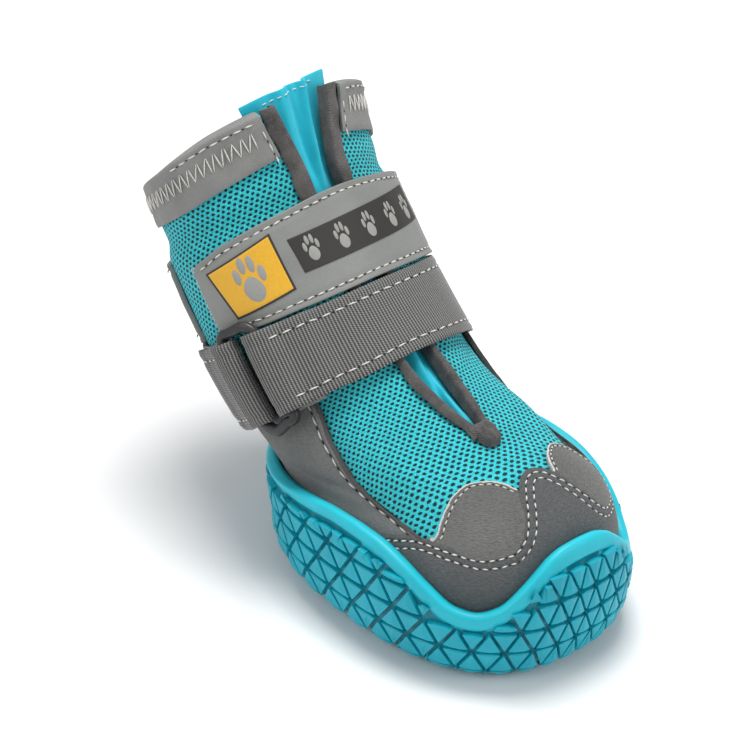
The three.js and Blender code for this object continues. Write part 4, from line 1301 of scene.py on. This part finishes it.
def ink(name, colour, roughness=0.5):
    paint, tree, shader = bare_material(name)
    speck = noise(tree, 1800, 4, 0.7)
    dim = tuple(part * 0.86 for part in colour)
    tone = ramp(tree, speck, [(0.3, dim), (0.7, colour)])
    surface(tree, shader, tone, roughness, bump(tree, speck, 0.2, 0.00005))
    return paint


yellow_ink = ink("yellow_ink", (0.74, 0.40, 0.022))
black_ink = ink("black_ink", (0.024, 0.021, 0.019), 0.6)
grey_ink = ink("grey_ink", (0.30, 0.30, 0.285))


def print_patch(name, corners, lift, paint, grow=0.0, across=40, upward=20):
    """A four-cornered print on the strap; corners run top left, top right, bottom right, bottom left."""
    corners = np.array(corners)
    centre = corners.mean(axis=0)
    corners = centre + (corners - centre) * (1 + grow)

    def patch_points(a, b):
        top = corners[0] + (corners[1] - corners[0]) * a[:, None]
        foot = corners[3] + (corners[2] - corners[3]) * a[:, None]
        spot = foot + (top - foot) * b[:, None]
        u = spot[:, 0]
        return lay(u, spot[:, 1], band_face + 0.14 + lift + band_wave(u))

    patch = grid_piece(name, across, upward, patch_points)
    thicken(patch, 0.12, 0.04)
    patch.data.materials.append(paint)
    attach(patch, "root")


def paw_print(name, centre, size, turn, lift, paint):
    """A plain paw: one rounded pad and four toes, each a low dome laid on the strap."""
    shape = bmesh.new()
    toes = [(0, -0.18, 0.34, 0.27), (-0.40, 0.12, 0.12, 0.17), (-0.15, 0.34, 0.12, 0.18),
            (0.15, 0.34, 0.12, 0.18), (0.40, 0.12, 0.12, 0.17)]
    for x, y, half_x, half_y in toes:
        made = bmesh.ops.create_circle(shape, cap_ends=True, segments=20, radius=1)
        face = [patch for patch in shape.faces if patch.verts[0] in made["verts"]]
        inner = bmesh.ops.inset_individual(shape, faces=face, thickness=0.25, use_even_offset=True)
        for corner in made["verts"]:
            corner.co.z = -1
        for corner in {end for patch in face + inner["faces"] for end in patch.verts}:
            pinch = 1 - 0.22 * max(corner.co.y, 0) if half_x > 0.3 else 1
            corner.co.x = x + corner.co.x * half_x * pinch
            corner.co.y = y + corner.co.y * half_y
    flat = np.array([corner.co[:] for corner in shape.verts]) * [size, size, 1]
    spin_x = flat[:, 0] * math.cos(turn) - flat[:, 1] * math.sin(turn)
    spin_y = flat[:, 0] * math.sin(turn) + flat[:, 1] * math.cos(turn)
    v = centre[1] + spin_y / strap_scale_up
    u = centre[0] + spin_x / girth_at(v)
    dome = np.where(flat[:, 2] < 0, -0.05, 0.04)
    points = lay(u, v, band_face + 0.14 + lift + band_wave(u) + dome)
    for corner, point in zip(shape.verts, points * 0.001):
        corner.co = point
    paw = finish_piece(name, shape)
    paw.data.materials.append(paint)
    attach(paw, "root")


square = [(-0.425, 0.771), (-0.233, 0.796), (-0.225, 0.721), (-0.392, 0.704)]
label = [(-0.192, 0.782), (0.290, 0.790), (0.298, 0.740), (-0.183, 0.735)]
print_patch("square_outline", square, 0.02, black_ink, 0.05)
print_patch("yellow_square", square, 0.06, yellow_ink, -0.02)
print_patch("dark_label", label, 0.04, black_ink, 0.0, 80, 16)
paw_print("square_paw", (-0.318, 0.7475), 6.2, -0.06, 0.12, grey_ink)
for k in range(5):
    paw_print(f"label_paw_{k + 1}", (-0.138 + 0.096 * k, 0.7605), 3.4, 0.0, 0.10, grey_ink)

# Loop tape. A piece of white fuzzy fastening tape sewn to the shaft under the cut end of the upper strap.
tape_near = -0.300
tape_far = -0.500


def tape_points(a, b):
    u = tape_far + (tape_near - tape_far) * a
    w = np.abs(u)
    low = along(band_around, band_low, w) + 0.004
    high = along(band_around, band_high, w) - 0.004
    v = low + (high - low) * b
    fuzz = 0.16 * np.sin(a * 151 + 3 * np.sin(b * 31)) * np.sin(b * 97 + 2 * np.sin(a * 23))
    return lay(u, v, 1.25 + fuzz)


def tape_marks(a, b, middle):
    return np.stack([a * 13, b * 12], axis=1)


loop_tape = grid_piece("loop_tape_fuzz", 90, 60, tape_points, marks=tape_marks)
thicken(loop_tape, 0.9, 0.0)
white_loops, tree, shader = bare_material("white_loops")
curls = noise(tree, 2600, 5, 0.8)
tone = ramp(tree, curls, [(0.32, (0.22, 0.22, 0.22)), (0.60, (0.78, 0.78, 0.76))])
surface(tree, shader, tone, 0.95, bump(tree, curls, 0.9, 0.0004), sheen=0.5)
loop_tape.data.materials.append(white_loops)
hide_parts("loop_tape")
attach(loop_tape, "root")

# Lower strap. Ribbed webbing from the ring side round the back and across the front, then folded round the
# ring's bar with its end tucked under; a pale stitch row runs along each edge.
webbing_around = [0, 0.200, 0.350, 0.430, 0.700, 1]
webbing_low = [0.594, 0.586, 0.567, 0.552, 0.480, 0.440]
webbing_high = [0.694, 0.691, 0.683, 0.676, 0.634, 0.609]
webbing_middle = 0.62
webbing_thickness = 1.2
bar_radius = 1.2
bar_slack = 0.5
bar_centre = 4.5
webbing_seam = 2.6
ring_bar_strap = -0.362
ring_bar_loop = -0.458
loop_tail = -0.612
webbing_tail = 1.370
webbing_under = -0.270


def webbing_path(top_path, bar, side, under_end):
    """Outer face of a strap folded round a bar, as places round the shoe and distances off it."""
    path = [(u, off + webbing_thickness) for u, off in top_path]
    girth = float(girth_at(webbing_middle))
    far = bar_radius + bar_slack + webbing_thickness
    for i in range(13):
        angle = math.pi / 2 + math.pi * i / 12
        path.append((bar + math.cos(angle) * side * far / girth, bar_centre + math.sin(angle) * far))
    low = bar_centre - far
    for i in range(1, 5):
        path.append((bar + (under_end - bar) * i / 4, low))
    path = np.array(path)
    spots = lay(turned(path[:, 0]), np.full(len(path), webbing_middle), path[:, 1])
    return path, walked_along(spots)


over_tail = strap_in + webbing_thickness + 0.3
webbing_run = 44
strap_top = [(webbing_tail + (-0.200 - webbing_tail) * k / webbing_run, strap_in)
             for k in range(webbing_run + 1)]
strap_top += [(webbing_under + 0.030, over_tail), (webbing_under - 0.030, over_tail + 0.6),
              (ring_bar_strap + 0.030, bar_centre + bar_radius + bar_slack - 0.7)]
loop_top = [(loop_tail, over_tail), (loop_tail + 0.060, over_tail + 0.2),
            (ring_bar_loop - 0.045, over_tail + 1.5),
            (ring_bar_loop - 0.022, bar_centre + bar_radius + bar_slack - 0.4)]
rib_pitch = 0.80
webbing_cloth, tree, shader = bare_material("ribbed_webbing")
x, y = flat_marks(tree)
rib = calc(tree, "SINE", calc(tree, "MULTIPLY", x, 2 * math.pi / rib_pitch))
cross = calc(tree, "SINE", calc(tree, "MULTIPLY", y, 2 * math.pi / 0.55))
fibre = noise(tree, 2600, 4, 0.7)
weave = calc(tree, "ADD", calc(tree, "MULTIPLY_ADD", rib, 0.34, 0.40),
             calc(tree, "ADD", calc(tree, "MULTIPLY", cross, 0.10), calc(tree, "MULTIPLY", fibre, 0.30)))
# Tone follows the ribs: near black in the grooves between them is painted shade and the paler grey on their
# crests is painted light, over the webbing's dark grey with its random fibre tone.
tone = ramp(tree, weave, [(0.22, (0.014, 0.014, 0.014)), (0.52, (0.066, 0.066, 0.063)),
                          (0.92, (0.225, 0.225, 0.216))])
nap = calc(tree, "ADD", calc(tree, "MULTIPLY", cross, 0.35), fibre)
surface(tree, shader, tone, 0.62, bump(tree, nap, 0.7, 0.00016), sheen=0.3)


def webbing_edges(u):
    w = np.abs(turned(u))
    return along(webbing_around, webbing_low, w), along(webbing_around, webbing_high, w)


def webbing_piece(name, path, walked, rows, stitch_ranges):
    ribs = int(walked[-1] / rib_pitch)

    def spot(a, b):
        place = a * walked[-1]
        u = np.interp(place, walked, path[:, 0])
        off = np.interp(place, walked, path[:, 1])
        low, high = webbing_edges(u)
        return place, u, low + (high - low) * b, off

    def points(a, b):
        place, u, v, off = spot(a, b)
        climb = climb_at(turned(u), v)
        low, high = webbing_edges(u)
        off = off + 0.085 * np.cos(2 * math.pi * place / rib_pitch)
        for seam in (high - webbing_seam / climb, low + webbing_seam / climb):
            off = off - 0.22 * np.exp(-((v - seam) * climb / 0.45) ** 2)
        selvage = np.minimum(high - v, v - low) * climb
        return lay(turned(u), v, off - 0.25 * np.exp(-(selvage / 0.5) ** 2))

    def marks(a, b, middle):
        place, u, v, _ = spot(a, b)
        return np.stack([place + rib_pitch / 4, sample(climbed, turned(u), v)], axis=1)

    strap = grid_piece(name, ribs * 4, rows, points, marks=marks, flip=path[1, 0] < path[0, 0])
    thicken(strap, 1.0, 0.0)
    strap.data.materials.append(webbing_cloth)
    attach(strap, "root")
    stitch_rows = []
    for low_end, high_end in stitch_ranges:
        place = np.linspace(low_end * walked[-1], high_end * walked[-1], 400)
        u = np.interp(place, walked, path[:, 0])
        off = np.interp(place, walked, path[:, 1])
        low, high = webbing_edges(u)
        for edge, inset in ((high, -webbing_seam), (low, webbing_seam)):
            v = edge + inset / climb_at(turned(u), edge)
            stitch_rows.append((turned(u), v, off - 0.06, 2.3, 0.9, 0.19))
    sew(name + "_stitches", stitch_rows)
    return strap


path, walked = webbing_path(strap_top, ring_bar_strap, 1, webbing_under)
top_end = walked[len(strap_top) - 1] / walked[-1]
strap_webbing = webbing_piece("strap_webbing_cloth", path, walked, 16, [(0.01, top_end)])
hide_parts("strap_webbing")

# Ring loop. A short length of the same webbing folded round the ring's other bar and sewn down behind it.
path, walked = webbing_path(loop_top, ring_bar_loop, -1, loop_tail)
ring_loop = webbing_piece("ring_loop_cloth", path, walked, 16, [(0.02, 0.36)])
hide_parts("ring_loop")

# Ring. A rectangular loop of moulded dark plastic with rounded corners, standing off the shaft between the
# lower strap and its holding loop.
ring_corner = 2.2


def ring_path():
    path = []
    corner_u = ring_corner / float(girth_at(webbing_middle))
    for bar, high, start in ((ring_bar_strap, True, 0), (ring_bar_loop, True, 1), (ring_bar_loop, False, 2),
                             (ring_bar_strap, False, 3)):
        u = bar + (corner_u if bar == ring_bar_loop else -corner_u)
        edges = [float(webbing_edges(np.array(w))[1 if high else 0]) for w in (bar, u)]
        edge = max(edges) if high else min(edges)
        climb = float(climb_at(np.array(u), np.array(edge)))
        reach = (bar_slack + bar_radius - ring_corner) / climb
        v = edge + (reach if high else -reach)
        for k in range(6):
            angle = (start + k / 5) * math.pi / 2
            path.append((u + corner_u * math.cos(angle), v + ring_corner / climb * math.sin(angle)))
    closed = np.array(path + path[:1])
    walked = walked_along(closed * [strap_scale, strap_scale_up])
    return closed, walked / walked[-1]


ring_line, ring_walked = ring_path()


def ring_points(a, b):
    def centre(place):
        place = place % 1
        u = np.interp(place, ring_walked, ring_line[:, 0])
        v = np.interp(place, ring_walked, ring_line[:, 1])
        return u, v, lay(u, v, bar_centre)

    u, v, middle = centre(a)
    ahead = centre(a + 0.006)[2] - centre(a - 0.006)[2]
    ahead /= np.linalg.norm(ahead, axis=1, keepdims=True)
    up = sample(face_normals, u, v)
    side = np.cross(ahead, up)
    side /= np.linalg.norm(side, axis=1, keepdims=True)
    up = np.cross(side, ahead)
    turn = 2 * math.pi * b
    wide = bar_radius * np.sign(np.cos(turn)) * np.abs(np.cos(turn)) ** 0.72
    tall = bar_radius * np.sign(np.sin(turn)) * np.abs(np.sin(turn)) ** 0.72
    return middle + side * wide[:, None] + up * tall[:, None]


ring = grid_piece("moulded_ring", 160, 24, ring_points, closed=True)
ring_plastic, tree, shader = bare_material("moulded_plastic")
tone = ramp(tree, noise(tree, 300, 4), [(0.3, (0.018, 0.018, 0.019)), (0.7, (0.034, 0.034, 0.036))])
gloss = spread(tree, noise(tree, 500, 3), 0.35, 0.65, 0.36, 0.50)
surface(tree, shader, tone, gloss, bump(tree, noise(tree, 1500, 4), 0.25, 0.00008))
ring.data.materials.append(ring_plastic)
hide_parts("ring")
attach(ring, "root")

# Floor, light and camera. The boot stands on a plain pale floor under soft studio light, and the
# camera looks at it from the photograph's side: the toe to the lower right, from well above.
floor_mesh = bmesh.new()
bmesh.ops.create_grid(floor_mesh, x_segments=1, y_segments=1, size=3.0)
floor_data = bpy.data.meshes.new("floor")
floor_mesh.to_mesh(floor_data)
floor_mesh.free()
floor = bpy.data.objects.new("floor", floor_data)
bpy.context.collection.objects.link(floor)
floor_paint = bpy.data.materials.new("floor_paint")
floor_paint.use_nodes = True
floor_shader = floor_paint.node_tree.nodes["Principled BSDF"]
floor_shader.inputs["Base Color"].default_value = (0.86, 0.865, 0.87, 1)
floor_shader.inputs["Roughness"].default_value = 0.55
floor_data.materials.append(floor_paint)

studio = bpy.data.worlds.new("studio")
studio.use_nodes = True
studio.node_tree.nodes["Background"].inputs["Color"].default_value = (0.97, 0.985, 1.0, 1)
studio.node_tree.nodes["Background"].inputs["Strength"].default_value = 0.46
bpy.context.scene.world = studio
bpy.context.scene.view_settings.view_transform = "Standard"


def soft_light(name, place, aim, size, power, tint):
    lamp = bpy.data.lights.new(name, "AREA")
    lamp.shape = "SQUARE"
    lamp.size = size
    lamp.energy = power
    lamp.color = tint
    carrier = bpy.data.objects.new(name, lamp)
    carrier.location = place
    carrier.rotation_euler = (Vector(aim) - Vector(place)).to_track_quat("-Z", "Y").to_euler()
    bpy.context.collection.objects.link(carrier)


soft_light("key_light", (0.12, 0.20, 1.00), (0.0, 0.02, 0.04), 0.48, 9.5, (1.0, 0.99, 0.98))
soft_light("side_light", (-0.80, 0.10, 0.55), (0.0, 0.03, 0.05), 0.50, 2.2, (1.0, 1.0, 1.0))
soft_light("front_light", (0.40, -0.80, 0.50), (0.0, 0.0, 0.03), 0.45, 2.6, (1.0, 1.0, 1.0))

azimuth = math.radians(-46.0)
elevation = math.radians(37.0)
roll = math.radians(-5.0)
camera_distance = 0.8333
# The line of sight passes beside the boot's middle, which sets the boot where the photograph has it.
aim_ahead = 2600
aim_right = -50.5
aim_up = 140
view_right = Vector((math.cos(azimuth), math.sin(azimuth), 0))
view_back = Vector((math.sin(azimuth) * math.cos(elevation), -math.cos(azimuth) * math.cos(elevation),
                    math.sin(elevation)))
view_up = view_back.cross(view_right)
turned_right = view_right * math.cos(roll) - view_up * math.sin(roll)
turned_up = view_right * math.sin(roll) + view_up * math.cos(roll)
aim_line = (-view_back * aim_ahead + turned_right * aim_right + turned_up * aim_up).normalized()
camera_back = -aim_line
camera_right = (turned_right - camera_back * turned_right.dot(camera_back)).normalized()
camera_up = camera_back.cross(camera_right)
camera_data = bpy.data.cameras.new("camera")
camera_data.lens = 178.0
camera_data.sensor_width = 36.0
camera_data.clip_start = 0.01
camera = bpy.data.objects.new("camera", camera_data)
camera.matrix_world = Matrix((
    (camera_right.x, camera_up.x, camera_back.x, view_back.x * camera_distance),
    (camera_right.y, camera_up.y, camera_back.y, view_back.y * camera_distance),
    (camera_right.z, camera_up.z, camera_back.z, view_back.z * camera_distance),
    (0, 0, 0, 1),
))
bpy.context.collection.objects.link(camera)
bpy.context.scene.camera = camera
